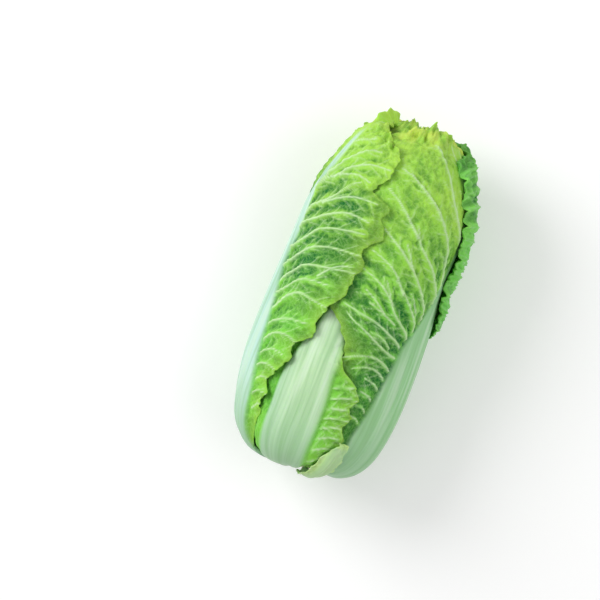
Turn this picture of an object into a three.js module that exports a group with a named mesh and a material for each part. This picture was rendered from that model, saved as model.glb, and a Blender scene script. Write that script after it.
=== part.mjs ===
// A napa cabbage, cut and lying on its side: a barrel-shaped head of wrapped leaves round a short stem.
// Millimetres, +Z up. The head's axis runs along +Y, from the cut stem to the crown of leaf tips.
//
// Every leaf is laid over the ones beneath it. Places on the head are given by two numbers: s, the share of
// the way from the stem to the crown along the heart's outline, and an angle round the axis, which is 0 at
// the top of the lying head and grows towards +X. A third number, the height, is measured out from the heart.
import * as THREE from "three";

// Driving dimensions of the head.
const AXIS_HEIGHT = 62.9; // from the surface that the head lies on to its axis
const PRESSED_SHARE = 0.93; // the head's underside sags to this share of its radius
const TYPICAL_COVER = 12; // the usual depth of leaves over the heart
const LEAF_GAP = 1.65; // clear space between a leaf and what it lies on
const BLADE_THICKNESS = 1.1;

// The heart's outline as radius and distance along the axis, from the stem's side to the top.
const HEART_OUTLINE = [
  [21, 20], [28, 19.5], [34, 21.5], [38.5, 28.5], [41.5, 45], [44.5, 80], [46.5, 125], [48.5, 175],
  [49.5, 205], [48, 228], [41.5, 247], [31, 266], [23, 280], [13.5, 289.5], [0, 292.5],
];
// The stem, from the middle of its cut face round to the tip of the core inside the heart.
const STEM_OUTLINE = [
  [0, 1.5], [16.5, 1.5], [18.4, 3], [19.2, 8], [19.2, 19.2], [17.4, 24], [14, 40], [9, 60], [3, 74], [0, 76],
];
// The heart's socket, which the core stands in, from its tip down to its mouth.
const SOCKET_OUTLINE = [[0, 76.8], [3.8, 74.4], [9.9, 60], [14.9, 40], [18.3, 24.2], [19.9, 20.3]];
const TURN_STEPS = 20; // sides of the heart and the stem

// Leaves, from the innermost to the outermost. left, mid and right are the left margin, the midrib and the
// right margin, each as [distance along the axis, angle in degrees] pairs. rib is the midrib's half-width and
// depth where it is broadest, how early it narrows, and how far the side ribs stand out. ruffle is how far
// each margin waves out from the head: at the left, at the right and at the tip. cells are counts: left
// blade, right blade, stem to tip.
const LEAVES = [
  ...[20, 157.5, -65, 72.5].map((angle, i) => ({
    name: `inner_leaf_${i + 1}`, reach: 0.93 + 0.012 * i, rib: [17, 3.6, 1, 0], ruffle: [1, 1, 9], waves: 5,
    phase: 0.31 * i, cells: [3, 3, 15], colour: 0xc4dc72,
    left: [[0, angle - 34], [60, angle - 52], [250, angle - 55], [300, angle - 70]],
    mid: [[0, angle], [300, angle + 12]],
    right: [[0, angle + 34], [60, angle + 52], [250, angle + 60], [300, angle + 90]],
  })),
  { name: "tucked_leaf_right", reach: 0.93, rib: [26, 5, 1, 0.1], ruffle: [1.5, 1.5, 6], waves: 6, phase: 0.2,
    cells: [3, 3, 17], colour: 0x8fc457,
    left: [[0, 62], [60, 42], [150, 32], [250, 30], [300, 22]],
    mid: [[0, 100], [300, 92]],
    right: [[0, 138], [60, 160], [150, 168], [250, 166], [300, 160]] },
  { name: "tucked_leaf_left", reach: 0.945, rib: [26, 5, 1, 0.1], ruffle: [1.5, 1.5, 8], waves: 6, phase: 0.6,
    cells: [3, 3, 17], colour: 0x8fc457,
    left: [[0, -76], [60, -96], [150, -108], [250, -104], [300, -90]],
    mid: [[0, -38], [300, -28]],
    right: [[0, 0], [60, 18], [150, 30], [250, 34], [300, 40]] },
  { name: "outer_leaf_low_left", reach: 0.93, rib: [32, 6, 1, 0.4], ruffle: [2, 2, 5], waves: 6, phase: 0.45,
    cells: [4, 4, 22], colour: 0x7fbf4d,
    left: [[0, -178], [60, -196], [150, -208], [250, -200], [300, -180]],
    mid: [[0, -140], [300, -128]],
    right: [[0, -102], [60, -82], [150, -66], [250, -60], [300, -70]] },
  { name: "outer_leaf_top", reach: 0.91, rib: [23, 6.5, 1.3, 1], ruffle: [0.5, 3.5, 2], waves: 9, phase: 0.15,
    cells: [4, 4, 34], colour: 0x9ccb62,
    left: [[0, -48], [30, -62], [100, -78], [250, -72], [300, -40]],
    mid: [[0, -15], [56, -12], [94, -9], [113, -6], [200, -2], [300, 8]],
    right: [[0, 10], [16, 20], [33, 33], [43, 25], [53, 29], [62, 22], [70, 27], [79, 22], [88, 4], [96, 3],
      [104, 2], [114, 7], [135, 24], [170, 46], [250, 60], [300, 44]] },
  { name: "outer_leaf_right", reach: 0.935, rib: [36, 8, 1, 1.1], ruffle: [1.2, 0.5, 7], waves: 8, phase: 0.7,
    cells: [6, 3, 32], colour: 0x6fb842,
    left: [[0, 40], [12, 30], [30, 21], [60, 14], [88, 8.5], [104, 6], [112, 1], [123, -7], [140, -26],
      [200, -48], [260, -48], [300, -26]],
    mid: [[0, 72], [60, 75], [123, 73], [154, 72], [193, 70], [221, 64], [246, 57], [268, 48], [300, 30]],
    right: [[0, 106], [60, 122], [150, 132], [250, 130], [300, 100]] },
  { name: "outer_leaf_low_right", reach: 0.93, rib: [32, 6.5, 1, 1], ruffle: [7, 1, 8], waves: 9, phase: 0.05,
    cells: [3, 4, 34], colour: 0x3f9a45,
    left: [[0, 116], [60, 122], [110, 116], [130, 102], [145, 93], [188, 85], [205, 77], [222, 68], [247, 60],
      [271, 55], [300, 40]],
    mid: [[0, 134], [100, 136], [200, 132], [300, 112]],
    right: [[0, 160], [60, 184], [150, 196], [250, 190], [300, 160]] },
  { name: "outer_leaf_left", reach: 0.925, rib: [36, 8, 1, 1.2], ruffle: [1.5, 5, 6], waves: 10, phase: 0.35,
    cells: [3, 6, 34], colour: 0x86c44f,
    left: [[0, -114], [60, -120], [150, -124], [250, -116], [300, -90]],
    mid: [[0, -86], [150, -87], [180, -80], [211, -71], [235, -60], [264, -56], [300, -50]],
    right: [[0, -52], [20, -40], [44, -43], [50, -36], [57, -45], [66, -38], [81, -28], [92, -30], [104, -20],
      [124, -18], [144, -8], [160, -9], [170, -3], [181, -9], [196, 2], [208, -7], [216, 0], [225, -17],
      [240, -10], [253, -8], [264, -20], [282, -28], [300, -30]] },
  { name: "outer_leaf_under", reach: 0.87, rib: [31, 7.5, 1, 1], ruffle: [1, 1, 1], waves: 6, phase: 0.8,
    cells: [3, 3, 20], colour: 0x86c44f,
    left: [[0, 150], [60, 147], [150, 142], [250, 144], [300, 160]],
    mid: [[0, 184], [300, 184]],
    right: [[0, 218], [60, 222], [150, 228], [250, 224], [300, 206]] },
  { name: "broken_leaf_base", reach: 0.1, bridge: 2, rib: [6, 2.2, 0.2, 0], ruffle: [0.3, 0.3, 0.5], waves: 3,
    phase: 0.5, cells: [1, 1, 6], colour: 0xb9d79a,
    left: [[0, 15], [14, 17], [24, 20], [30, 24]],
    mid: [[0, 27], [30, 28]],
    right: [[0, 39], [14, 40], [24, 37], [30, 32]] },
];
// The top leaf's right half lies over the right leaf near the stem, and dips under it past this part of s.
const SWAP = { over: "outer_leaf_top", under: "outer_leaf_right", from: 0.28, to: 0.325 };

// The lattice of heights, in steps along s and round the axis, and how a leaf bridges what is under it.
const S_CELLS = 80;
const TURN_CELLS = 120;
const BRIDGE_CELLS = 4;
const OPEN = 99; // a height that stands for nothing above

const mix = (a, b, t) => a + (b - a) * t;
const step = (from, to, x) => {
  const t = Math.min(1, Math.max(0, (x - from) / (to - from)));
  return t * t * (3 - 2 * t);
};
const radians = THREE.MathUtils.degToRad;

// The value at t, from 0 to 1, of a smooth line through evenly spaced numbers.
function along(values, t) {
  const x = Math.min(1, Math.max(0, t)) * (values.length - 1);
  const i = Math.min(values.length - 2, Math.floor(x));
  const f = x - i;
  const [b, c] = [values[i], values[i + 1]];
  const a = values[i - 1] ?? b;
  const d = values[i + 2] ?? c;
  return b + 0.5 * f * (c - a + f * (2 * a - 5 * b + 4 * c - d + f * (3 * (b - c) + d - a)));
}

// The value at x on straight lines between [x, value] pairs.
function between(pairs, x) {
  const i = Math.max(1, Math.min(pairs.length - 1, pairs.findIndex(([at]) => at > x)));
  const [[x0, v0], [x1, v1]] = x > pairs.at(-1)[0] ? pairs.slice(-2) : pairs.slice(i - 1, i + 1);
  return mix(v0, v1, Math.min(1, Math.max(0, (x - x0) / (x1 - x0))));
}

// The heart's outline at s: radius, place on the axis, and the outward direction.
const outline = new THREE.SplineCurve(HEART_OUTLINE.map(([r, y]) => new THREE.Vector2(r, y)));
outline.arcLengthDivisions = 400;
function heartAt(s) {
  const point = outline.getPointAt(Math.min(1, Math.max(0, s)));
  const way = outline.getTangentAt(Math.min(1, Math.max(0, s)));
  return { r: point.x, y: point.y, outR: way.y, outY: -way.x };
}

// How much the head's own weight draws in its underside at an angle round the axis.
function pressed(angle) {
  const down = -Math.cos(angle);
  const flat = PRESSED_SHARE / Math.max(down, 0.5);
  const soft = 0.02;
  return 0.5 * (1 + flat - Math.hypot(flat - 1, soft) + soft);
}

// The point of space at s, an angle and a height over the heart, no lower than a level over the surface that
// the head lies on.
function place(s, angle, height, lowest = 0) {
  const { r, y, outR, outY } = heartAt(s);
  const radius = (r + height * outR) * mix(1, pressed(angle), step(0.02, 0.2, s) * step(0.98, 0.8, s));
  return new THREE.Vector3(
    radius * Math.sin(angle),
    y + height * outY,
    Math.max(lowest, AXIS_HEIGHT + radius * Math.cos(angle)),
  );
}

// One number for each cell of the lattice.
class Field {
  constructor(value = 0) {
    this.cells = new Float64Array((S_CELLS + 1) * TURN_CELLS).fill(value);
  }

  index(i, j) {
    const row = Math.min(S_CELLS, Math.max(0, i));
    return row * TURN_CELLS + (((j % TURN_CELLS) + TURN_CELLS) % TURN_CELLS);
  }

  // The value at any s and angle, from the four cells round it.
  at(s, angle, join = (a, b, t) => mix(a, b, t)) {
    const x = Math.min(1, Math.max(0, s)) * S_CELLS;
    const z = (angle / (2 * Math.PI)) * TURN_CELLS;
    const [i, j] = [Math.floor(x), Math.floor(z)];
    const row = (k) => join(this.cells[this.index(k, j)], this.cells[this.index(k, j + 1)], z - j);
    return join(row(i), row(i + 1), x - i);
  }

  // A new field whose cells come from each cell's neighbours within a reach, along s and then round the axis.
  gathered(reach, start, gather, finish = (v) => v) {
    let from = this;
    for (const [di, dj] of [[1, 0], [0, 1]]) {
      const made = new Field();
      for (let i = 0; i <= S_CELLS; i++)
        for (let j = 0; j < TURN_CELLS; j++) {
          let v = start;
          for (let k = -reach; k <= reach; k++) v = gather(v, from.cells[this.index(i + k * di, j + k * dj)]);
          made.cells[i * TURN_CELLS + j] = finish(v);
        }
      from = made;
    }
    return from;
  }

  highest = (reach) => this.gathered(reach, -Infinity, Math.max);
  lowest = (reach) => this.gathered(reach, Infinity, Math.min);
  average = (reach) => this.gathered(reach, 0, (sum, v) => sum + v, (sum) => sum / (2 * reach + 1));
}

// A leaf's own coordinates are a, from -1 at the left margin over 0 at the midrib to 1 at the right margin,
// and b, from 0 at the stem to 1 at the tip. Lines of constant b sweep up and out, as the side veins do.
class Leaf {
  constructor(spec) {
    Object.assign(this, spec);
  }

  wave(b, turns, shift) {
    const t = 2 * Math.PI * (turns * b + this.phase + shift);
    return 0.65 * Math.sin(t) + 0.35 * Math.sin(1.9 * t + 1.3);
  }

  // s and angle of a point of the leaf, and the width in mm of the half of the leaf that it is in.
  spot(a, b) {
    const side = Math.abs(a);
    const sweep = 0.07 * side ** 1.4 * Math.sin(Math.PI * b) ** 1.5;
    const tip = 0.1 * a * a * step(0.55, 1, b);
    const s = this.reach * (b + sweep - tip * step(0.3, 0.9, this.reach));
    const heart = heartAt(s);
    const y = heart.y + TYPICAL_COVER * heart.outY;
    const mid = radians(between(this.mid, y));
    const margin = radians(between(a < 0 ? this.left : this.right, y));
    const girth = Math.max(14, heart.r + TYPICAL_COVER * heart.outR);
    return { s, angle: mix(mid, margin, side), half: Math.abs(margin - mid) * girth };
  }

  // The midrib's half-width and depth in mm: broad and deep near the stem, fine at the tip.
  midrib(b) {
    const [halfWidth, depth, early] = this.rib;
    const t = Math.min(1, b * early);
    return {
      halfWidth: halfWidth * along([0.5, 0.95, 1, 0.9, 0.7, 0.46, 0.28, 0.17, 0.1, 0.06, 0.04], t),
      depth: depth * along([0.45, 0.9, 1, 0.88, 0.72, 0.56, 0.42, 0.32, 0.24, 0.18, 0.12], t),
    };
  }

  // Depth of the leaf: the midrib stands out of thin blades.
  depth(a, b) {
    const { halfWidth, depth } = this.midrib(b);
    const across = (Math.abs(a) * this.spot(a, b).half) / Math.max(2.5, halfWidth);
    return BLADE_THICKNESS + Math.max(0, depth - BLADE_THICKNESS) * Math.sqrt(Math.max(0, 1 - across ** 2.6));
  }

  // Places across the leaf, from margin to margin, with some on the midrib and at its edges.
  columns(b) {
    const [leftCells, rightCells] = this.cells;
    const { halfWidth } = this.midrib(b);
    const side = (sign, cells) => {
      const { half } = this.spot(sign, b);
      const edge = Math.min(0.86, (Math.max(2.5, halfWidth) + 1) / half);
      const blade = Array.from({ length: cells + 1 }, (_, i) => mix(edge, 1, i / cells));
      return [0.5 * edge, 0.86 * edge, ...blade].map((v) => sign * v);
    };
    return [...side(-1, leftCells).reverse(), 0, ...side(1, rightCells)];
  }

  // How far the waved margins stand out from the head where nothing lies on them.
  ruffle(a, b) {
    const [left, right, tip] = this.ruffles(b);
    const side = step(0.55, 1, Math.abs(a)) * (a < 0 ? left : right) * step(0.08, 0.3, b);
    const end = step(0.8, 1, b) * tip;
    return Math.max(side, end);
  }

  ruffles(b) {
    const [left, right, tip] = this.ruffle_mm;
    const waved = (shift) => 0.55 + 0.45 * this.wave(b, this.waves, shift);
    return [left * waved(0.1), right * waved(0.6), tip * 0.8];
  }

  // A wave across the tip, which has no length along b.
  crown(a) {
    return 0.6 + 0.4 * Math.sin(2 * Math.PI * (1.6 * a + this.phase));
  }
}

const leaves = LEAVES.map(({ ruffle, ...spec }) => new Leaf({ ...spec, ruffle_mm: ruffle }));

// Lays the leaves on the heart in an order, and gives each leaf's floor, the height of its inner face, and
// its ceiling, the height of the first thing over it.
function lay(order) {
  const [ACROSS, UP] = [60, 150];
  let top = new Field(0);
  const laid = new Map();
  for (const leaf of order) {
    const cells = leaf.bridge ?? BRIDGE_CELLS;
    const floor = top.highest(cells).average(cells - 1).average(1);
    const cover = new Field(0);
    const next = new Field();
    next.cells.set(top.cells);
    for (let i = 0; i <= ACROSS; i++)
      for (let j = 0; j <= UP; j++) {
        const [a, b] = [(2 * i) / ACROSS - 1, j / UP];
        const { s, angle } = leaf.spot(a, b);
        const k = next.index(Math.round(s * S_CELLS), Math.round((angle / (2 * Math.PI)) * TURN_CELLS));
        next.cells[k] = Math.max(next.cells[k], floor.cells[k] + LEAF_GAP + leaf.depth(a, b) + leaf.rib[3]);
        cover.cells[k] = 1;
      }
    top = next;
    laid.set(leaf.name, { floor, cover: cover.highest(2) });
  }
  order.forEach((leaf, n) => {
    const ceiling = new Field(OPEN);
    for (const above of order.slice(n + 1)) {
      const { floor, cover } = laid.get(above.name);
      ceiling.cells.forEach((v, k) => {
        if (cover.cells[k]) ceiling.cells[k] = Math.min(v, floor.cells[k] + LEAF_GAP);
      });
    }
    laid.get(leaf.name).ceiling = ceiling.lowest(3);
  });
  return laid;
}

const swapped = leaves.slice();
const [overAt, underAt] = [SWAP.over, SWAP.under].map((name) => leaves.findIndex((l) => l.name === name));
[swapped[overAt], swapped[underAt]] = [swapped[underAt], swapped[overAt]];
const nearStem = lay(swapped);
const pastSwap = lay(leaves);

// Heights of a leaf's inner and outer face at a point of it.
function faces(leaf, a, b) {
  const { s, angle } = leaf.spot(a, b);
  const t = step(SWAP.from, SWAP.to, s);
  const [low, high] = [nearStem.get(leaf.name), pastSwap.get(leaf.name)];
  const floor = mix(low.floor.at(s, angle), high.floor.at(s, angle), t) + LEAF_GAP;
  const least = (a, b) => Math.min(a, b);
  const ceiling = Math.min(
    t < 1 ? low.ceiling.at(s, angle, least) : OPEN,
    t > 0 ? high.ceiling.at(s, angle, least) : OPEN,
  );
  const depth = leaf.depth(a, b);
  const room = Math.max(0, ceiling - floor - depth - LEAF_GAP);
  const lift = Math.min(room, leaf.ruffle(a, b) * mix(1, leaf.crown(a), step(0.85, 1, b)));
  return { s, angle, inner: floor + lift, outer: floor + lift + depth };
}

// A closed solid from a sheet of points with an outer and an inner face.
function shell(outer, inner, rows, columns) {
  const index = [];
  const at = (i, j) => i * (columns + 1) + j;
  const back = (rows + 1) * (columns + 1);
  const quad = (a, b, c, d) => index.push(a, b, c, a, c, d);
  for (let i = 0; i < rows; i++)
    for (let j = 0; j < columns; j++) {
      const [a, b, c, d] = [at(i, j), at(i, j + 1), at(i + 1, j + 1), at(i + 1, j)];
      quad(a, b, c, d);
      index.push(back + a, back + c, back + b, back + a, back + d, back + c);
    }
  for (let j = 0; j < columns; j++) {
    quad(at(0, j + 1), at(0, j), back + at(0, j), back + at(0, j + 1));
    quad(at(rows, j), at(rows, j + 1), back + at(rows, j + 1), back + at(rows, j));
  }
  for (let i = 0; i < rows; i++) {
    quad(at(i, 0), at(i + 1, 0), back + at(i + 1, 0), back + at(i, 0));
    quad(at(i + 1, columns), at(i, columns), back + at(i, columns), back + at(i + 1, columns));
  }
  const made = new THREE.BufferGeometry().setFromPoints([...outer, ...inner]);
  return made.setIndex(index);
}

// A leaf as a solid. Every other row across it is raised, which makes the side ribs.
function leafGeometry(leaf) {
  const up = leaf.cells[2];
  const [outer, inner] = [[], []];
  let across = 0;
  for (let j = 0; j <= up; j++) {
    const b = j / up - 0.06 * Math.sin((2 * Math.PI * j) / up);
    const columns = leaf.columns(b);
    const ribs = j % 2 === 0 && j > 1 && j < up ? leaf.rib[3] : 0;
    across = columns.length - 1;
    columns.forEach((a, i) => {
      const face = faces(leaf, a, b);
      const inBlade = Math.min(i, across - i) < 2 || Math.abs(i - across / 2) > 2.6;
      outer.push(place(face.s, face.angle, face.outer + (inBlade && i > 0 && i < across ? ribs : 0)));
      inner.push(place(face.s, face.angle, face.inner, BLADE_THICKNESS));
    });
  }
  return shell(outer, inner, up, across);
}

// A solid of revolution about the head's axis.
function turned(points) {
  return new THREE.LatheGeometry(points.map(([r, y]) => new THREE.Vector2(r, y)), TURN_STEPS);
}

// The heart: the youngest leaves, grown tight together round the core. Their edges show as folds that wind
// round it, and they stand out most at the crown.
function heartGeometry() {
  const ROWS = 17;
  const FOLDS = 3;
  const rows = Array.from({ length: ROWS + 1 }, (_, i) => heartAt(i / ROWS));
  const profile = [...SOCKET_OUTLINE, ...rows.map(({ r, y }) => [Math.max(r, 0), y])];
  profile[profile.length - 1][0] = 0;
  const made = turned(profile);
  const position = made.getAttribute("position");
  const perTurn = profile.length;
  for (let k = 0; k < position.count; k++) {
    const row = (k % perTurn) - SOCKET_OUTLINE.length;
    const angle = (Math.floor(k / perTurn) % TURN_STEPS) * ((2 * Math.PI) / TURN_STEPS);
    let [s, fold] = [Math.max(0, row / ROWS), 0];
    if (row > 0 && row < ROWS) fold = -1.2 * (0.5 + 0.5 * Math.sin(FOLDS * angle + 14 * s));
    if (row >= 0) {
      const p = place(s, angle, fold);
      position.setXYZ(k, p.x, p.y, p.z);
    } else {
      const [x, y, z] = [position.getX(k), position.getY(k), position.getZ(k)];
      const r = Math.hypot(x, z);
      position.setXYZ(k, r * Math.sin(angle), y, AXIS_HEIGHT + r * Math.cos(angle));
    }
  }
  return made;
}

function stemGeometry() {
  return turned(STEM_OUTLINE).translate(0, 0, AXIS_HEIGHT);
}

function piece(name, geometry, colour, roughness) {
  geometry.computeVertexNormals();
  const material = new THREE.MeshStandardMaterial({ color: colour, roughness, metalness: 0 });
  const mesh = new THREE.Mesh(geometry, material);
  mesh.name = name;
  return mesh;
}

const head = new THREE.Group();
head.add(piece("stem", stemGeometry(), 0xe9ecd2, 0.6));
head.add(piece("heart", heartGeometry(), 0xdbe58f, 0.55));
for (const leaf of leaves) head.add(piece(leaf.name, leafGeometry(leaf), leaf.colour, 0.5));

// The origin is the middle of the head's footprint on the surface that it lies on.
const box = new THREE.Box3().setFromObject(head);
const middle = box.getCenter(new THREE.Vector3());
head.position.set(-middle.x, -middle.y, -box.min.z);

export default head;
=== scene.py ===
"""The looks of a napa cabbage that lies on its side, seen from above.

Every leaf is a thin sheet laid over the ones beneath it. Places on the head are given by s, the share of
the way from the stem to the crown along the heart's outline, and by an angle round the axis, 0 on top and
growing towards +X. Lengths are in millimetres until a mesh is made.
"""
import logging
import math
from dataclasses import dataclass, field
from enum import Enum
from typing import Callable, Optional, Sequence, Union

import bpy
import numpy as np
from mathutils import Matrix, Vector
from mathutils.kdtree import KDTree


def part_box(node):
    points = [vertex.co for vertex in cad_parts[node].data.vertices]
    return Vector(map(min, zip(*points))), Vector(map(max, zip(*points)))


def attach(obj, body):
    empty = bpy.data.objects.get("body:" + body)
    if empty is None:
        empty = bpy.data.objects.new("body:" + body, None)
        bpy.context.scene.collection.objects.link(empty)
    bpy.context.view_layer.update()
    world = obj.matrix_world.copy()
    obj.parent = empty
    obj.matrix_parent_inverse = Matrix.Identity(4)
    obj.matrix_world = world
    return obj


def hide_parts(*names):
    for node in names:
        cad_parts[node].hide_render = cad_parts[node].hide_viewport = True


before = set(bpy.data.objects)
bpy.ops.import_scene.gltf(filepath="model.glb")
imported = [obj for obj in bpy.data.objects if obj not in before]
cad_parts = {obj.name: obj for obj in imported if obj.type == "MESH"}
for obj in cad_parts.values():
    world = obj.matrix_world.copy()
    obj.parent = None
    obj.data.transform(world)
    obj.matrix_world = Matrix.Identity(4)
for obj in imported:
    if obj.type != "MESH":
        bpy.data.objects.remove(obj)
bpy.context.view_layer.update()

LOG = logging.getLogger("cabbage")
Pairs = Sequence[tuple[float, float]]
Colour = tuple[float, float, float]
Shaping = Callable[[np.ndarray, np.ndarray, np.ndarray, np.ndarray], tuple[np.ndarray, np.ndarray]]
MM = 0.001
NOISE_CELLS = 64  # after which the seeded patterns repeat
FLAT_RADIUS = 64.0  # by which angles are turned into lengths
VEIN_STEP = 0.7  # between the points of a vein
VEIN_SHIFT = 37.0  # from vein to vein, so that each has its own pleats
OPEN = 99.0  # height of a leaf's ceiling where nothing lies over it
MARGIN = 9.0  # over which a leaf's margin passes into its blade
RIB_DEPTHS = (0.45, 0.9, 1.0, 0.88, 0.72, 0.56, 0.42, 0.32, 0.24, 0.18, 0.12)
BROAD_TO_FINE = (0.5, 0.95, 1.0, 0.9, 0.7, 0.46, 0.28, 0.17, 0.1, 0.06, 0.04)


def step(low: float, high: float, x: np.ndarray) -> np.ndarray:
    """Smooth step.

    Args:
        low: where it is still 0.
        high: where it has become 1.
        x: the places.

    Returns:
        Values from 0 to 1.
    """
    t = np.clip((x - low) / (high - low), 0.0, 1.0)
    return t * t * (3.0 - 2.0 * t)


def between(pairs: Pairs, x: np.ndarray) -> np.ndarray:
    """Straight-line interpolation in a list of (place, value) pairs.

    Args:
        pairs: places in growing order, each with its value.
        x: where to read.

    Returns:
        The values at x.
    """
    places, values = zip(*pairs)
    return np.interp(x, places, values)


def along(values: Sequence[float], t: np.ndarray) -> np.ndarray:
    """The value at t, from 0 to 1, of a smooth line through evenly spaced numbers.

    Args:
        values: the numbers.
        t: where to read.

    Returns:
        The values at t.
    """
    v = np.asarray(values, float)
    x = np.clip(t, 0.0, 1.0) * (len(v) - 1)
    i = np.clip(np.floor(x).astype(int), 0, len(v) - 2)
    f = x - i
    a, b, c, d = v[np.maximum(i - 1, 0)], v[i], v[i + 1], v[np.minimum(i + 2, len(v) - 1)]
    return b + 0.5 * f * (c - a + f * (2 * a - 5 * b + 4 * c - d + f * (3 * (b - c) + d - a)))


def noise(x: np.ndarray, y: np.ndarray, seed: int) -> np.ndarray:
    """Smooth seeded noise over a plane.

    Args:
        x: first coordinate, in cells.
        y: second coordinate, in cells.
        seed: picks the pattern.

    Returns:
        Values from about -1 to 1.
    """
    grid = np.random.default_rng(seed).uniform(-1.0, 1.0, (NOISE_CELLS, NOISE_CELLS))
    i, j = np.floor(x).astype(int), np.floor(y).astype(int)
    u, v = x - i, y - j
    u, v = u * u * (3 - 2 * u), v * v * (3 - 2 * v)
    i0, i1 = i % NOISE_CELLS, (i + 1) % NOISE_CELLS
    j0, j1 = j % NOISE_CELLS, (j + 1) % NOISE_CELLS
    low = grid[i0, j0] * (1 - u) + grid[i1, j0] * u
    high = grid[i0, j1] * (1 - u) + grid[i1, j1] * u
    return low * (1 - v) + high * v


def cells(x: np.ndarray, y: np.ndarray, seed: int) -> np.ndarray:
    """Distance to the nearest wall of a seeded pattern of irregular cells.

    Args:
        x: first coordinate, in cells.
        y: second coordinate, in cells.
        seed: picks the pattern.

    Returns:
        0 on a wall, about 0.5 in the middle of a cell.
    """
    jitter = np.random.default_rng(seed).uniform(0.12, 0.88, (NOISE_CELLS, NOISE_CELLS, 2))
    i, j = np.floor(x).astype(int), np.floor(y).astype(int)
    first = np.full(x.shape, 9.0)
    second = np.full(x.shape, 9.0)
    for di in (-1, 0, 1):
        for dj in (-1, 0, 1):
            spot = jitter[(i + di) % NOISE_CELLS, (j + dj) % NOISE_CELLS]
            d = np.hypot(i + di + spot[..., 0] - x, j + dj + spot[..., 1] - y)
            second = np.where(d < first, first, np.minimum(second, d))
            first = np.minimum(first, d)
    return second - first


@dataclass
class Outline:
    """The heart's outline, from the stem's side to the top.

    Args:
        points: radius and place on the axis of the points that it passes through.
        cover: the usual depth of leaves over it.
    """

    points: Pairs = (
        (21, 20), (28, 19.5), (34, 21.5), (38.5, 28.5), (41.5, 45), (44.5, 80), (46.5, 125), (48.5, 175),
        (49.5, 205), (48, 228), (41.5, 247), (31, 266), (23, 280), (13.5, 289.5), (0, 292.5),
    )
    cover: float = 12.0

    def __post_init__(self) -> None:
        """Draws the smooth line through the points."""
        p = np.array(self.points, float)
        p = np.vstack([p[:1], p, p[-1:]])
        t = np.linspace(0, 1, 60, endpoint=False)[:, None]
        spans = []
        for a, b, c, d in zip(p, p[1:], p[2:], p[3:]):
            bend = 2 * a - 5 * b + 4 * c - d + t * (3 * (b - c) + d - a)
            spans.append(b + 0.5 * t * (c - a + t * bend))
        line = np.vstack([*spans, p[-1:]])
        length = np.concatenate([[0], np.cumsum(np.hypot(*np.diff(line, axis=0).T))])
        self.length = float(length[-1])
        self.s = np.linspace(0, 1, 1601)
        self.r = np.interp(self.s, length / self.length, line[:, 0])
        self.y = np.interp(self.s, length / self.length, line[:, 1])
        dr, dy = np.gradient(self.r), np.gradient(self.y)
        size = np.hypot(dr, dy)
        self.out_r, self.out_y = dy / size, -dr / size
        self.outer_y = np.maximum.accumulate(self.y + self.cover * self.out_y)

    def read(self, s: np.ndarray, values: np.ndarray) -> np.ndarray:
        """Values of the outline's table at s."""
        return np.interp(s, self.s, values)

    def s_of(self, y: np.ndarray) -> np.ndarray:
        """The share of the way at which the covered outline reaches a place along the axis."""
        return np.interp(y, self.outer_y, self.s)


@dataclass
class Head:
    """The space of the lying head.

    Args:
        axis_height: from the surface that it lies on to its axis.
        pressed_share: the share of its radius to which its underside sags.
        outline: the heart's outline.
        visible_width: half-width of the head as seen from above, as (place along the axis, half-width)
            pairs.
    """

    axis_height: float = 62.9
    pressed_share: float = 0.93
    outline: Outline = field(default_factory=Outline)
    visible_width: Pairs = (
        (0, 37), (8, 49.5), (16, 57), (24, 61), (33, 63), (49, 65), (65, 66), (81, 67), (114, 67.5),
        (163, 68.2), (196, 68.7), (220, 67.5), (236, 64), (253, 56), (269, 44), (285, 32.6), (305, 24),
    )

    def __post_init__(self) -> None:
        """Finds the head's place from the stem's solid."""
        low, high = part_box("stem")
        middle = (low + high) * 0.5 / MM
        self.shift = np.array([middle.x, low.y / MM - 1.5, middle.z - self.axis_height])

    def pressed(self, s: np.ndarray, angle: np.ndarray) -> np.ndarray:
        """How much the head's weight draws in its underside.

        Args:
            s: share of the way along the outline.
            angle: round the axis, in radians.

        Returns:
            A factor on the radius.
        """
        flat = self.pressed_share / np.maximum(-np.cos(angle), 0.5)
        most = 0.5 * (1 + flat - np.hypot(flat - 1, 0.02) + 0.02)
        return 1 + (most - 1) * step(0.02, 0.2, s) * (1 - step(0.8, 0.98, s))

    def place(self, s: np.ndarray, angle: np.ndarray, height: np.ndarray) -> np.ndarray:
        """Points of space, no lower than the surface under the head.

        Args:
            s: share of the way along the outline.
            angle: round the axis, in radians.
            height: over the heart.

        Returns:
            Points in millimetres, one a row.
        """
        o = self.outline
        radius = o.read(s, o.r) + height * o.read(s, o.out_r)
        radius = radius * self.pressed(s, angle)
        y = o.read(s, o.y) + height * o.read(s, o.out_y)
        z = np.maximum(0.0, self.axis_height + radius * np.cos(angle))
        return np.stack([radius * np.sin(angle), y, z], axis=-1) + self.shift

    def seen(self, points: Pairs) -> tuple[np.ndarray, np.ndarray]:
        """s and angle of points on the side that faces up.

        Args:
            points: (place along the axis, place across) pairs.

        Returns:
            s and angle of each point.
        """
        y, x = np.array(points, float).T
        share = np.clip(x / between(self.visible_width, y), -0.97, 0.97)
        return self.outline.s_of(y), np.arcsin(share)


@dataclass(frozen=True)
class Vein:
    """A main side vein.

    Args:
        points: (place along the axis, place across) pairs as seen from above.
        width: its width where it starts, in mm.
        seen: whether the points are as seen from above; not used.
    """

    points: Pairs
    width: float = 2.2
    seen: bool = True


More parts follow.
